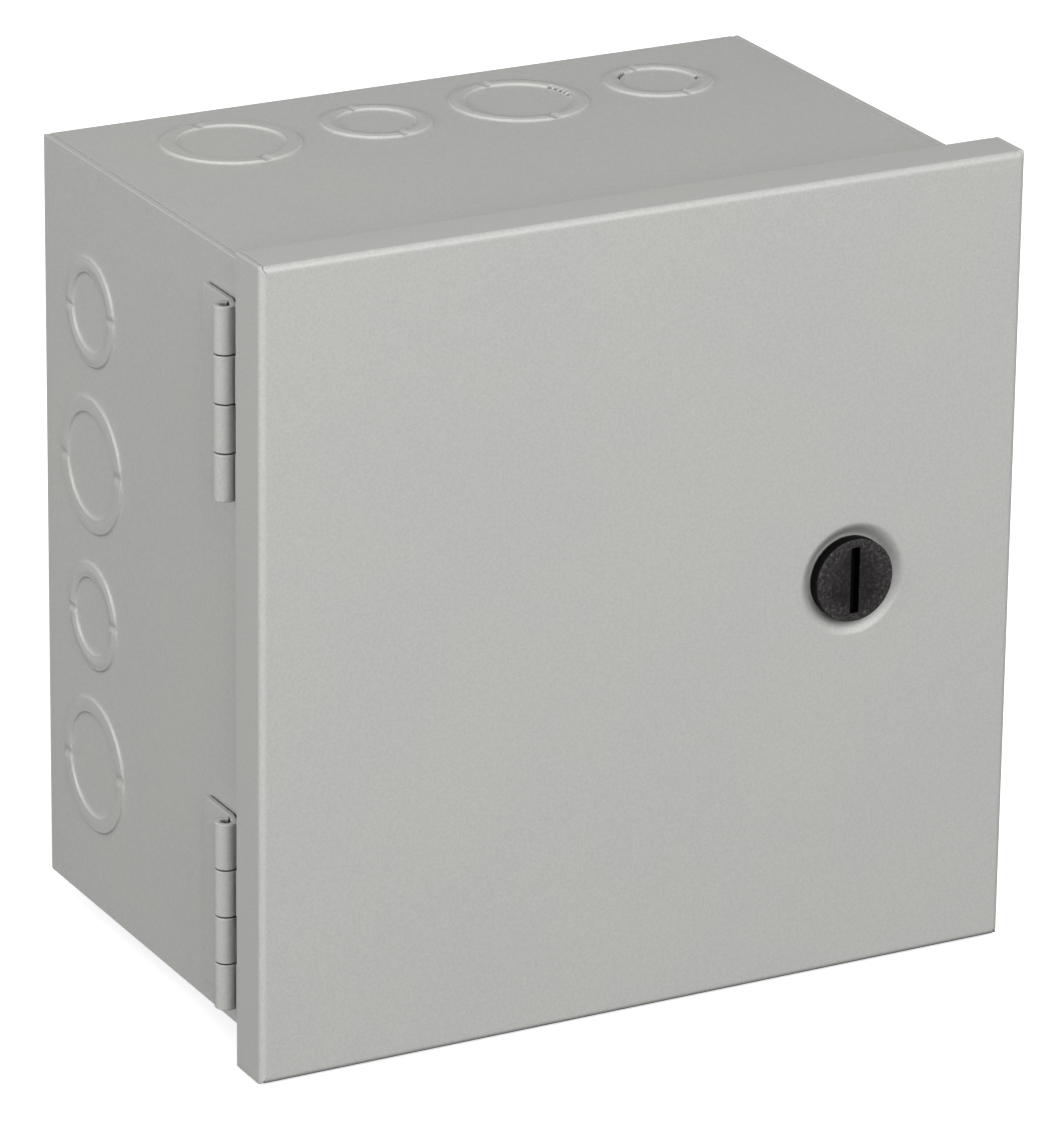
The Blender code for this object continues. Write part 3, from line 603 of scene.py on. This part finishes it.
def combine(piece, operation, *tools):
    """Run Booleans with the tools, keep the result and remove the tools."""
    for tool in tools:
        modifier = piece.modifiers.new(operation.lower(), "BOOLEAN")
        modifier.operation = operation
        modifier.object = tool
        modifier.solver = "EXACT"
    ready = piece.evaluated_get(bpy.context.evaluated_depsgraph_get())
    made = bpy.data.meshes.new_from_object(ready)
    piece.modifiers.clear()
    piece.data = made
    for tool in tools:
        bpy.data.objects.remove(tool)
    return piece


def cut(piece, *tools):
    return combine(piece, "DIFFERENCE", *tools)


def join(piece, *tools):
    return combine(piece, "UNION", *tools)


def measure(node):
    """The low corner, the high corner and the middle of a frame node."""
    low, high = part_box(node)
    return low, high, (low + high) / 2


def thread_profile(start, end, radius):
    """Profile points along a threaded length, as rings a pitch apart."""
    half_pitch = THREAD_PITCH / 2
    root = radius - THREAD_PITCH * THREAD_DEPTH_SHARE
    count = int((end - start) / half_pitch)
    return [(start + half_pitch * k, root if k % 2 else radius) for k in range(count + 1)]


def arc(centre, radius, start, end, steps):
    """Points of an arc between two angles in degrees."""
    turns = [math.radians(start + (end - start) * step / steps) for step in range(steps + 1)]
    return [(centre[0] + radius * math.cos(t), centre[1] + radius * math.sin(t)) for t in turns]


def rounded(low, high, radius, steps=6):
    """The outline of a rectangle with rounded corners."""
    (left, bottom), (right, top) = low, high
    corners = [((right - radius, top - radius), 0), ((left + radius, top - radius), 90),
               ((left + radius, bottom + radius), 180), ((right - radius, bottom + radius), 270)]
    points = []
    for centre, start in corners:
        points += arc(centre, radius, start, start + 90, steps)
    return points


def round_hole(centre, radius, rim):
    """A relief for a plain hole, with a narrow rim of faces round it."""
    return {"centre": centre, "radii": [radius + rim, radius], "steps": HOLE_STEPS,
            "heights": lambda radius, turn: (0.0, 0.0), "is_open": True}


def fold_turns():
    return [math.pi / 2 * step / FOLD_STEPS for step in range(FOLD_STEPS + 1)]


def fold_row(spot, pair, side):
    """The outer and the inner point at both ends of a line across a flap."""
    return [tuple(spot(*point, s) for point in pair) for s in (-side, side)]


def fold_rows(spot, radius, thickness, reach, along):
    """Rows round an outside fold of 90 degrees.

    spot(out, back, side) is a point out from the panel, back along the flap and to one side.
    """
    rows = []
    for turn in fold_turns():
        pair = []
        for around in (radius, radius - thickness):
            out = reach - radius + around * math.sin(turn)
            back = radius - around * math.cos(turn)
            pair.append((out, back))
        rows.append(fold_row(spot, pair, along(turn)))
    return rows


def folded_tray(half, face_y, outward, depth, fold, plate_reliefs=(), flap_reliefs=None, lip=None,
                thickness=SHEET, centre_x=0.0):
    """A blank folded into a tray: side flaps at full height, end flaps tucked between them.

    half is its half width and half height, outward is the way its plate faces along Y.
    flap_reliefs maps a flap's name to the reliefs in it. lip is (flap name, inner edge).
    """
    sheet = Sheet()
    flat_x, flat_z = half[0] - fold, half[1] - fold
    inner_fold = fold - thickness

    def on_plate(u, v, height):
        return Vector((centre_x + u, face_y + outward * height, v))

    relieved = flat_x - SEAM
    outline = [(-flat_x, -flat_z), (-relieved, -flat_z), (relieved, -flat_z), (flat_x, -flat_z),
               (flat_x, flat_z), (relieved, flat_z), (-relieved, flat_z), (-flat_x, flat_z)]
    sheet.plate(on_plate, outline, thickness, plate_reliefs)

    def side_reach(turn):
        return flat_z + fold * math.sin(turn)

    def end_reach(turn):
        across = fold * math.cos(turn)
        room = math.sqrt(max(0.0, inner_fold ** 2 - across ** 2))
        return flat_x + room - SEAM + CORNER_FILL * math.sin(2 * turn)

    flaps = {
        "left": (Vector((-1, 0, 0)), Vector((0, 0, 1)), half[0], side_reach),
        "right": (Vector((1, 0, 0)), Vector((0, 0, 1)), half[0], side_reach),
        "top": (Vector((0, 0, 1)), Vector((1, 0, 0)), half[1], end_reach),
        "bottom": (Vector((0, 0, -1)), Vector((1, 0, 0)), half[1], end_reach),
    }
    for name, (out_axis, side_axis, reach, along) in flaps.items():
        def spot(out, back, side, out_axis=out_axis, side_axis=side_axis):
            return out_axis * out + side_axis * side + Vector((centre_x, face_y - outward * back, 0))

        def on_flap(u, v, height, spot=spot, reach=reach):
            return spot(reach + height, u, v)

        sheet.strip(fold_rows(spot, fold, thickness, reach, along))
        width = along(math.pi / 2)
        has_lip = bool(lip) and lip[0] == name
        end = depth - LIP_FOLD if has_lip else depth
        outline = [(fold, -width), (end, -width), (end, width), (fold, width)]
        sheet.plate(on_flap, outline, thickness, (flap_reliefs or {}).get(name, ()))
        if has_lip:
            add_lip(sheet, spot, reach, end, width, lip[1])
    return sheet


def add_lip(sheet, spot, reach, end, width, inner_edge):
    """A fold at the free edge of a flap that turns a lip in towards the middle."""
    rows = []
    for turn in fold_turns():
        pair = [(reach - LIP_FOLD + around * math.cos(turn), end + around * math.sin(turn))
                for around in (LIP_FOLD, LIP_FOLD - SHEET)]
        rows.append(fold_row(spot, pair, width - LIP_FOLD * math.sin(turn)))
    pair = [(inner_edge, end + LIP_FOLD), (inner_edge, end + LIP_FOLD - SHEET)]
    rows.append(fold_row(spot, pair, width - LIP_FOLD))
    sheet.strip(rows)


# ---- enclosure body
def smooth_step(value):
    value = min(1.0, max(0.0, value))
    return value * value * (3 - 2 * value)


def knockout_relief(centre, size, open_shears=()):
    """A raised band round the slug, let down at its two ties, with an open shear here and there."""
    outer = KNOCKOUT_RADIUS[size]
    inner = outer - KNOCKOUT_BAND
    half = KNOCKOUT_SLOPE / 2

    def off_tie(turn):
        nearest = min(abs((turn - math.radians(tie) + math.pi) % (2 * math.pi) - math.pi)
                      for tie in (TIE_ANGLE, TIE_ANGLE + 180))
        return smooth_step((math.degrees(nearest) - TIE_HALF_WIDTH) / TIE_RAMP)

    def heights(radius, turn):
        up = smooth_step((radius - inner + half) / KNOCKOUT_SLOPE)
        down = smooth_step((outer + half - radius) / KNOCKOUT_SLOPE)
        rise = KNOCKOUT_RISE * up * down * (1 - TIE_DROP * (1 - off_tie(turn)))
        if radius in shears:
            rise -= KNOCKOUT_SHEAR * off_tie(turn)
        is_open = any(math.radians(low) <= turn <= math.radians(high) for low, high in open_shears)
        is_torn = inner - half * 0.3 < radius <= shears[1]
        sunk = TORN_DEPTH if is_open and is_torn else 0.0
        return rise - sunk, rise

    crown = half + SHEAR_OFFSET
    shears = (outer - crown, inner + crown)
    radii = [outer + half + 0.0006]
    radii += [outer - half * place for place in SLOPE_PLACES]
    radii += [shears[0], shears[0] - SHEAR_WIDTH, (outer + inner) / 2, shears[1] + SHEAR_WIDTH,
              shears[1]]
    radii += [inner - half * place for place in SLOPE_PLACES]
    radii += [inner - half - 0.0008, inner * 0.5]
    steps = OPEN_KNOCKOUT_STEPS if open_shears else KNOCKOUT_STEPS
    return {"centre": centre, "radii": radii, "heights": heights, "steps": steps}


def make_enclosure():
    low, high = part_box("enclosure_body")
    reliefs = {"left": [], "right": [], "top": [], "bottom": []}
    for mount in frame["record"]["mounts"]:
        if not mount["name"].startswith("knockout_"):
            continue
        _, flap, number = mount["name"].split("_")
        x, y, z = mount["pos_m"]
        is_side = flap in ("left", "right")
        is_large = (int(number) % 2 == 0) if is_side else (int(number) % 2 == 1)
        centre = (high.y - y, z if is_side else x)
        shears = OPEN_SHEARS.get((flap, number), ())
        reliefs[flap].append(knockout_relief(centre, "large" if is_large else "small", shears))
    hole_x, hole_z = WALL_HOLE_SPOT
    holes = [round_hole((x, z), WALL_HOLE_RADIUS, 0.0008)
             for x in (-hole_x, hole_x) for z in (-hole_z, hole_z)]
    sheet = folded_tray((high.x, high.z), high.y, 1, high.y - low.y, BODY_FOLD, holes, reliefs,
                        ("right", LIP_INNER_X))
    stand_for(sheet.solid("enclosure_shell"), "enclosure_body")


# ---- door
def dish_relief(centre):
    """The round dish that the latch sits in, with a soft lip and a hole in its floor."""

    def heights(radius, turn):
        sunk = DISH_DEPTH * smooth_step((DISH_RADIUS - radius) / (DISH_RADIUS - DISH_FLOOR_RADIUS))
        return -sunk, -sunk

    steps = 12
    slope = [DISH_RADIUS + (DISH_FLOOR_RADIUS - DISH_RADIUS) * k / steps for k in range(steps + 1)]
    radii = [DISH_RADIUS + 0.0008, *slope, DISH_FLOOR_RADIUS - 0.001, LATCH_HOLE_RADIUS]
    return {"centre": centre, "radii": radii, "heights": heights, "steps": 96, "is_open": True}


def make_door():
    low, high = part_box("door")
    latch = measure("latch_rotor")[2]
    sheet = folded_tray((high.x, high.z), low.y, -1, high.y - low.y, DOOR_FOLD,
                        [dish_relief((latch.x, 0.0))], thickness=DOOR_SHEET)
    stand_for(sheet.solid("door_cover"), "door")


# ---- hinges
def leaf_path(plate_x, start_y, bend_y, axis, forward):
    """Points down the middle of a leaf, then round its pin, each with its way towards the pin."""
    x, y = axis
    path = [(plate_x, start_y, -1.0, 0.0), (plate_x, bend_y, -1.0, 0.0)]
    tangent_x = x + CURL_RADIUS
    for step in range(1, CURL_LEAD_IN):
        share = step / CURL_LEAD_IN
        side = plate_x + (tangent_x - plate_x) * smooth_step(share)
        path.append((side, bend_y + (y - bend_y) * share, -1.0, 0.0))
    for step in range(CURL_STEPS + 1):
        turn = math.radians(CURL_TURN * step / CURL_STEPS) * (-1 if forward else 1)
        out_x, out_y = math.cos(turn), math.sin(turn)
        path.append((x + CURL_RADIUS * out_x, y + CURL_RADIUS * out_y, -out_x, -out_y))
    return path


def make_leaf(node, plate_x, start_y, bend_y, axis, first_knuckle, forward):
    """A hinge leaf: one plate whose fingers are rolled round the pin."""
    low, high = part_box(node)
    pitch = (high.z - low.z + KNUCKLE_GAP) / KNUCKLE_COUNT
    knuckles = [(high.z - pitch * (k + 1) + KNUCKLE_GAP, high.z - pitch * k)
                for k in range(first_knuckle, KNUCKLE_COUNT, 2)]
    levels = sorted({low.z, high.z, *[level for knuckle in knuckles for level in knuckle]})
    path = leaf_path(plate_x, start_y, bend_y, axis, forward)
    half = LEAF / 2

    def pair(point, z):
        x, y, to_x, to_y = point
        return ((x + to_x * half, y + to_y * half, z), (x - to_x * half, y - to_y * half, z))

    sheet = Sheet()
    sheet.strip([[pair(point, z) for z in levels] for point in path[:2]])
    for bottom, top in knuckles:
        sheet.strip([[pair(point, z) for z in (bottom, top)] for point in path[1:]])
    stand_for(sheet.solid(f"{node}_rolled"), node)


def make_hinges():
    door_low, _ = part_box("door")
    for place in ("upper", "lower"):
        pin = f"{place}_hinge_pin"
        pin_low, pin_high, centre = measure(pin)
        axis = (centre.x, centre.y)
        _, body_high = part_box(f"{place}_hinge_body_leaf")
        make_leaf(f"{place}_hinge_body_leaf", body_high.x - LEAF / 2, body_high.y,
                  BODY_LEAF_FRONT_Y, axis, 0, True)
        leaf_low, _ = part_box(f"{place}_hinge_door_leaf")
        inside = door_low.x + SHEET + KNUCKLE_GAP + LEAF / 2
        make_leaf(f"{place}_hinge_door_leaf", inside, leaf_low.y, DOOR_LEAF_REAR_Y, axis, 1, False)
        radius = (pin_high.x - pin_low.x) / 2
        end = pin_high.z - pin_low.z - PIN_RECESS
        profile = [(0, 0), (0, radius - PIN_EASE), (PIN_EASE, radius), (end, radius),
                   (end + PIN_EASE, radius - PIN_EASE), (end + PIN_EASE, 0)]
        made = turned(f"{pin}_turned", (centre.x, centre.y, pin_low.z), (0, 0, 1), profile, 32)
        stand_softened(made, pin, 0.00008)


# ---- quarter-turn latch
def make_rotor():
    """The slotted head, its stem and the square drive for the cam."""
    low, high, head = measure("latch_rotor")
    x, z = head.x, head.z
    radius = (high.x - low.x) / 2
    door_low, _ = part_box("door")
    cam_low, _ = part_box("latch_cam")
    floor = door_low.y + DISH_DEPTH - FIT - low.y
    square_start = cam_low.y - 0.0002
    stem_end = square_start - low.y
    ease = LATCH_HEAD_ROUND
    profile = [(0, 0), (0, radius - ease)]
    profile += [(ease - ease * math.cos(t), radius - ease + ease * math.sin(t))
                for t in (math.radians(a) for a in (30, 60, 90))]
    profile += [(floor, radius), (floor, LATCH_STEM_RADIUS), (stem_end, LATCH_STEM_RADIUS),
                (stem_end, 0)]
    rotor = turned("latch_rotor_moulded", (x, low.y, z), (0, 1, 0), profile, 96)
    side = LATCH_SQUARE
    drive = block("drive", (x - side, square_start - OVERSHOOT, z - side),
                  (x + side, high.y, z + side))
    width, length, depth = LATCH_SLOT
    slot = block("slot", (x - width / 2, low.y - OVERSHOOT, z - length / 2),
                 (x + width / 2, low.y + depth, z + length / 2))
    bore_radius, bore_depth = LATCH_BORE
    bore = drill(x, z, high.y + OVERSHOOT, high.y - bore_depth, bore_radius, 24)
    cut(join(rotor, drive), slot, bore)
    stand_softened(rotor, "latch_rotor", 0.00012)


def make_retainer():
    """A push-on spring ring, slit from its bore."""
    low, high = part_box("latch_retainer")
    head = measure("latch_rotor")[2]
    thickness = high.y - low.y
    outer = (high.x - low.x) / 2
    profile = [(0, outer), (0.0005, outer), (thickness, 0.0062), (thickness, RETAINER_BORE),
               (thickness - 0.0005, RETAINER_BORE), (0, outer - 0.002), (0, outer)]
    start = Vector((head.x, low.y, head.z))
    ring = turned("latch_retainer_sprung", start, (0, 1, 0), profile, 96)
    slits = []
    for count in range(RETAINER_SLITS):
        turn = Matrix.Rotation(math.radians(360 / RETAINER_SLITS * (count + 0.5)), 4, "Y")
        slit = block("slit", (-0.0004, -OVERSHOOT, 0.004), (0.0004, 0.003, 0.0075))
        slit.data.transform(Matrix.Translation(start) @ turn)
        slits.append(slit)
    cut(ring, *slits)
    stand_softened(ring, "latch_retainer", 0.0001)


def make_cam():
    """A plate with a round root and a narrower tip, and a square hole for the drive."""
    low, high, _ = measure("latch_cam")
    head = measure("latch_rotor")[2]
    x, z = head.x, head.z
    root = (high.x - low.x) / 2
    tip = root * CAM_TIP_SHARE
    outline = arc((0, 0), root, 180, 360, 20) + arc((0, high.z - z - tip), tip, 0, 180, 20)

    def on_cam(u, v, height):
        return Vector((x + u, low.y + height, z + v))

    cam = prism("latch_cam_plate", outline, on_cam, high.y - low.y)
    gap = LATCH_SQUARE + FIT
    cut(cam, block("hole", (x - gap, low.y - OVERSHOOT, z - gap),
                   (x + gap, high.y + OVERSHOOT, z + gap)))
    stand_softened(cam, "latch_cam", 0.0003)


# ---- fasteners
def make_screw(node, head, shank, recess, facing):
    """A domed screw with a threaded shank and a slot or a cross in its head."""
    low, high, centre = measure(node)
    axis = Vector((0, facing, 0))
    length = high.y - low.y
    radius = (high.x - low.x) / 2
    tip = centre - axis * length / 2
    neck = length - head
    dome = [(neck + head * math.sin(t), radius * (0.7 + 0.3 * math.cos(t)))
            for t in (math.radians(a) for a in (20, 40, 60, 90))]
    profile = [(0, 0), (0, shank * 0.7), *thread_profile(0.0005, neck, shank)]
    profile += [(neck, shank), (neck, radius), (neck + head * 0.15, radius), *dome, (length, 0)]
    screw = turned(f"{node}_turned", tip, axis, profile, 40)
    top_y = tip.y + facing * length
    ends = sorted((top_y - facing * head * 0.6, top_y + facing * OVERSHOOT))
    wide = radius * 0.13
    reach = radius * (1.2 if recess == "slot" else 0.6)
    tools = []
    for half_x, half_z in ([(wide, reach)] if recess == "slot" else [(wide, reach), (reach, wide)]):
        tools.append(block("recess", (centre.x - half_x, ends[0], centre.z - half_z),
                           (centre.x + half_x, ends[1], centre.z + half_z)))
    cut(screw, *tools)
    stand_softened(screw, node, 0.00006)


def make_screws():
    for node in frame["nodes"]:
        for kind, shape in SCREW_KINDS.items():
            if kind in node:
                make_screw(node, *shape)


def make_lug_screws():
    """Hollow-head set screws with a hexagon socket."""
    for node in ("line_lug_screw_1", "line_lug_screw_2"):
        low, high, centre = measure(node)
        radius, length = (high.x - low.x) / 2, high.y - low.y
        profile = [(0, 0), (0, radius * 0.8), *thread_profile(0.0005, length - 0.002, radius)]
        profile += [(length - 0.0015, radius), (length - 0.0004, radius), (length, radius * 0.85),
                    (length, 0)]
        screw = turned(f"{node}_turned", (centre.x, high.y, centre.z), (0, -1, 0), profile, 40)
        cut(screw, drill(centre.x, centre.z, low.y - OVERSHOOT, low.y + LUG_SOCKET_DEPTH,
                         radius * 0.55, 6))
        stand_softened(screw, node, 0.00006)


def make_stud(node):
    """A collar with a threaded end."""
    low, high, centre = measure(node)
    collar, length = (high.x - low.x) / 2, high.y - low.y
    profile = [(0, 0), (0, collar - COLLAR_EASE), (COLLAR_EASE, collar),
               (COLLAR_LENGTH - COLLAR_EASE, collar), (COLLAR_LENGTH, collar - COLLAR_EASE),
               (COLLAR_LENGTH, STUD_RADIUS)]
    profile += thread_profile(COLLAR_LENGTH + 0.0008, length - 0.0007, STUD_RADIUS)
    profile += [(length, STUD_RADIUS * 0.7), (length, 0)]
    stud = turned(f"{node}_turned", (centre.x, high.y, centre.z), (0, -1, 0), profile, 40)
    stand_softened(stud, node, 0.00008)


def make_nut(node, stud_node):
    """A hexagonal nut, chamfered at both ends, on the axis of its stud."""
    low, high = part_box(node)
    stud = measure(stud_node)[2]
    across, thick = (high.x - low.x) / 2, high.y - low.y
    start = (stud.x, high.y, stud.z)
    nut = rod(f"{node}_hexagonal", start, (stud.x, low.y, stud.z), across, segments=6)
    widest = across + 0.0001
    profile = [(0, 0), (0, across - NUT_EASE), (NUT_EASE, widest), (thick - NUT_EASE, widest),
               (thick, across - NUT_EASE), (thick, 0)]
    combine(nut, "INTERSECT", turned("chamfer", start, (0, -1, 0), profile, 48))
    cut(nut, drill(stud.x, stud.z, high.y + OVERSHOOT, low.y - OVERSHOOT, STUD_RADIUS + FIT))
    stand_softened(nut, node, 0.0001)


# ---- interior
def make_pan():
    """The galvanised mounting plate, with round corners, its stud holes and spare holes."""
    low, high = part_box("interior_pan")

    def on_pan(u, v, height):
        return Vector((u, low.y - height, v))

    studs = [measure(f"collar_stud_{number}")[2] for number in range(1, 5)]
    holes = [round_hole((stud.x, stud.z), STUD_RADIUS + FIT, 0.0009) for stud in studs]
    spares = [(side * 0.060, z) for side in (-1, 1) for z in (-0.036, -0.012, 0.012, 0.036)]
    spares += [(x, side * 0.062) for side in (-1, 1) for x in (-0.030, 0.0, 0.030)]
    holes += [round_hole(spot, SPARE_HOLE_RADIUS, 0.0009) for spot in spares]
    sheet = Sheet()
    outline = rounded((low.x, low.z), (high.x, high.z), PAN_CORNER)
    sheet.plate(on_pan, outline, high.y - low.y, holes)
    stand_for(sheet.solid("interior_pan_plate"), "interior_pan")


def make_bus_base():
    """A moulded carrier with ribbed flanks and two counterbored fixing holes."""
    low, high, centre = measure("bus_base")
    base = block("bus_base_moulded", low, high)
    front = low.y - OVERSHOOT
    pitch = (high.z - low.z) / BASE_SLOTS
    reach = pitch * 0.28
    tools = []
    for index in range(BASE_SLOTS):
        z = low.z + (index + 0.5) * pitch
        for edge, way in ((low.x, 1), (high.x, -1)):
            ends = sorted((edge - way * OVERSHOOT, edge + way * BASE_SLOT_DEPTH))
            tools.append(block("slot", (ends[0], front, z - reach),
                               (ends[1], high.y - 0.002, z + reach)))
    for z in (low.z + 0.012, high.z - 0.026):
        tools.append(drill(centre.x, z, front, high.y + OVERSHOOT, 0.0018))
        tools.append(drill(centre.x, z, front, low.y + 0.003, 0.0036))
    cut(base, *tools)
    stand_softened(base, "bus_base", 0.0004)


def make_line_lug(node):
    """A block with a countersunk wire hole across it and a screw hole from the front."""
    low, high, centre = measure(node)
    x, y, z = centre.x, high.y - 0.0066, centre.z
    radius = WIRE_RADIUS["line"]
    lug = block(f"{node}_drilled", low, high)
    cut(lug,
        rod("wire", (x, y, low.z - OVERSHOOT), (x, y, high.z + OVERSHOOT), radius),
        drill(x, z, y, low.y - OVERSHOOT, WIRE_SCREW_RADIUS["line"]),
        rod("wire_sink", (x, y, high.z - 0.0008), (x, y, high.z + 0.0008), radius - 0.0002,
            radius + 0.0014))
    stand_softened(lug, node, 0.0005)


def make_terminal_bar(node, across):
    """A drilled bar: a wire hole and a screw hole at each of its screws."""
    low, high, centre = measure(node)
    bar = block(f"{node}_drilled", low, high)
    across = Vector(across) * 0.006
    tools = []
    for screw in (name for name in frame["nodes"] if name.startswith(f"{node}_screw")):
        spot = measure(screw)[2]
        place = Vector((spot.x, centre.y, spot.z))
        tools.append(rod("wire", place - across, place + across, WIRE_RADIUS["bar"], segments=36))
        tools.append(drill(spot.x, spot.z, place.y, low.y - OVERSHOOT, WIRE_SCREW_RADIUS["bar"], 36))
    cut(bar, *tools)
    stand_softened(bar, node, 0.0003)


# ---- breaker cases and handles
def make_case(node):
    """Half a moulded case: its frame shape with rivet wells in its side and a plain label recess."""
    low, high, centre = measure(node)
    data = frame["nodes"][node].data.copy()
    mesh = bmesh.new()
    mesh.from_mesh(data)
    bmesh.ops.remove_doubles(mesh, verts=mesh.verts, dist=WELD_DISTANCE)
    mesh.to_mesh(data)
    mesh.free()
    case = linked(f"{node}_moulded", data)
    side_z, way = (high.z, 1) if node.endswith("upper") else (low.z, -1)
    tools = [rod("rivet", (x, y, side_z - way * RIVET_WELL), (x, y, side_z + way * OVERSHOOT),
                 RIVET_RADIUS) for x, y in RIVET_SPOTS]
    for left, right in (LABEL_SPAN, *GROOVE_SPANS):
        tools.append(block("label", (left, low.y - OVERSHOOT, centre.z - LABEL_HALF),
                           (right, low.y + LABEL_RECESS, centre.z + LABEL_HALF)))
    cut(case, *tools)
    stand_softened(case, node, 0.0003)


def lever_outline():
    """Points (across, along) round the tapered lever, with ridges on both flanks."""
    root, tip = 0.003, 0.00225
    right = [(root, LEVER_START)]
    for ridge in range(4):
        at = 0.0105 + ridge * RIDGE_PITCH
        side = root + (tip - root) * (at - LEVER_START) / (LEVER_TIP - LEVER_START)
        right += [(side, at), (side - RIDGE_DEPTH, at + 0.0004), (side - RIDGE_DEPTH, at + 0.0008),
                  (side, at + 0.0012)]
    right += arc((tip - LEVER_TIP_ROUND, LEVER_TIP - LEVER_TIP_ROUND), LEVER_TIP_ROUND, 0, 90, 5)
    return right + [(-x, y) for x, y in reversed(right)]


def make_handle(node):
    """A drum on trunnions with a tapered lever, ridged where the thumb rests."""
    low, high, centre = measure(node)
    z = centre.z
    drum = rod(f"{node}_moulded", (0, HANDLE_PIVOT_Y, z - HANDLE_HALF),
               (0, HANDLE_PIVOT_Y, z + HANDLE_HALF), HANDLE_DRUM_RADIUS, segments=96)
    trunnion = rod("trunnion", (0, HANDLE_PIVOT_Y, low.z), (0, HANDLE_PIVOT_Y, high.z),
                   TRUNNION_RADIUS)
    lean = Matrix.Rotation(math.radians(HANDLE_OFF_ANGLE), 4, "Z")

    def on_lever(u, v, height):
        return lean @ Vector((u, -v, height)) + Vector((0, HANDLE_PIVOT_Y, z - LEVER_HALF))

    join(drum, trunnion, prism("lever", lever_outline(), on_lever, LEVER_HALF * 2))
    stand_softened(drum, node, 0.00035, 40)


# ---- dead front
def make_dead_front():
    """The inner cover: a folded sheet with a beaded window for the breakers."""
    low, high, centre = measure("dead_front")
    half = ((high.x - low.x) / 2, (high.z - low.z) / 2)
    nested = []
    for margin, height in WINDOW_BEAD_RINGS:
        across, up = WINDOW[0] + margin, WINDOW[1] + margin
        outline = rounded((-across - centre.x, -up), (across - centre.x, up), 0.0012 + margin)
        nested.append([(u, v, -height * WINDOW_BEAD, -height * WINDOW_BEAD) for u, v in outline])
    openings = [{"loops": nested, "is_open": True}]
    for place in ("upper", "lower"):
        spot = measure(f"dead_front_screw_{place}")[2]
        openings.append(round_hole((spot.x - centre.x, spot.z), 0.0018, 0.0008))
    sheet = folded_tray(half, low.y, -1, high.y - low.y, DEAD_FRONT_FOLD, openings,
                        thickness=DEAD_FRONT_SHEET, centre_x=centre.x)
    stand_for(sheet.solid("dead_front_cover"), "dead_front")


def soften_remaining():
    """Round the edges of the frame pieces that stay as they are."""
    for node, cad in frame["nodes"].items():
        if node not in REPLACED:
            weld = cad.modifiers.new("weld", "WELD")
            weld.merge_threshold = WELD_DISTANCE
            soften(cad, CAD_SOFTENING)


# ---- stage
def make_world():
    """An even studio glow, brighter from above."""
    world = bpy.data.worlds.new("studio")
    world.use_nodes = True
    tree = world.node_tree
    background = tree.nodes["Background"]
    direction = tree.nodes.new("ShaderNodeTexCoord").outputs["Generated"]
    split = add_node(tree, "ShaderNodeSeparateXYZ", Vector=direction)
    level = add_node(tree, "ShaderNodeMapRange", Value=split.outputs["Z"], From_Min=-0.4,
                     From_Max=0.4, To_Min=SKY_BELOW, To_Max=SKY_ABOVE)
    tree.links.new(level.outputs["Result"], background.inputs["Strength"])
    background.inputs["Color"].default_value = (1.0, 1.0, 1.0, 1.0)
    bpy.context.scene.world = world
    bpy.context.scene.view_settings.view_transform = "Standard"


def make_softboxes():
    for name, (place, target, size, watts, in_gloss) in SOFTBOXES.items():
        light = bpy.data.lights.new(f"{name}_softbox", "AREA")
        light.shape = "RECTANGLE"
        light.size, light.size_y = size
        light.energy = watts
        softbox = linked(light.name, light)
        softbox.location = place
        softbox.visible_glossy = in_gloss
        softbox.rotation_mode = "QUATERNION"
        ahead = Vector(target) - softbox.location
        softbox.rotation_quaternion = ahead.to_track_quat("-Z", "Y")


def make_floor():
    floor_mesh = bmesh.new()
    bmesh.ops.create_grid(floor_mesh, x_segments=1, y_segments=1, size=FLOOR_SIZE / 2)
    floor = from_builder(floor_mesh, "floor")
    floor.location.z = CAD_BOUNDS[0].z - 0.0005
    paper = Shader("floor_paper", 0.9, Base_Color=(0.9, 0.9, 0.9, 1.0),
                   Emission_Color=(1.0, 1.0, 1.0, 1.0), Emission_Strength=FLOOR_GLOW)
    floor.data.materials.append(paper.material)
    floor.visible_diffuse = False
    floor.visible_glossy = False


def make_camera():
    lens = bpy.data.cameras.new("camera")
    lens.lens = CAMERA_LENS
    lens.sensor_width = CAMERA_SENSOR
    lens.clip_end = 50.0
    camera = linked("camera", lens)
    camera.location = CAMERA_PLACE
    azimuth, elevation = math.radians(CAMERA_AZIMUTH), math.radians(CAMERA_ELEVATION)
    ahead = Vector((math.sin(azimuth) * math.cos(elevation), math.cos(azimuth) * math.cos(elevation),
                    -math.sin(elevation)))
    level = ahead.to_track_quat("-Z", "Y")
    roll = Matrix.Rotation(-math.radians(CAMERA_ROLL), 4, ahead).to_quaternion()
    camera.rotation_mode = "QUATERNION"
    camera.rotation_quaternion = roll @ level
    bpy.context.scene.camera = camera


make_world()
make_softboxes()
make_floor()
make_camera()
for node, cad in frame["nodes"].items():
    cad.data.materials.clear()
    cad.data.materials.append(MATERIALS[slot_of(node)])
make_enclosure()
make_door()
make_hinges()
make_rotor()
make_retainer()
make_cam()
make_screws()
make_lug_screws()
for number in (1, 2, 3, 4):
    make_stud(f"collar_stud_{number}")
    make_nut(f"pan_nut_{number}", f"collar_stud_{number}")
make_pan()
make_bus_base()
make_line_lug("line_lug_1")
make_line_lug("line_lug_2")
make_terminal_bar("neutral_bar", (1, 0, 0))
make_terminal_bar("ground_bar", (0, 0, 1))
for breaker in (1, 2):
    make_case(f"breaker_{breaker}_case_upper")
    make_case(f"breaker_{breaker}_case_lower")
    make_handle(f"breaker_{breaker}_handle")
make_dead_front()
soften_remaining()
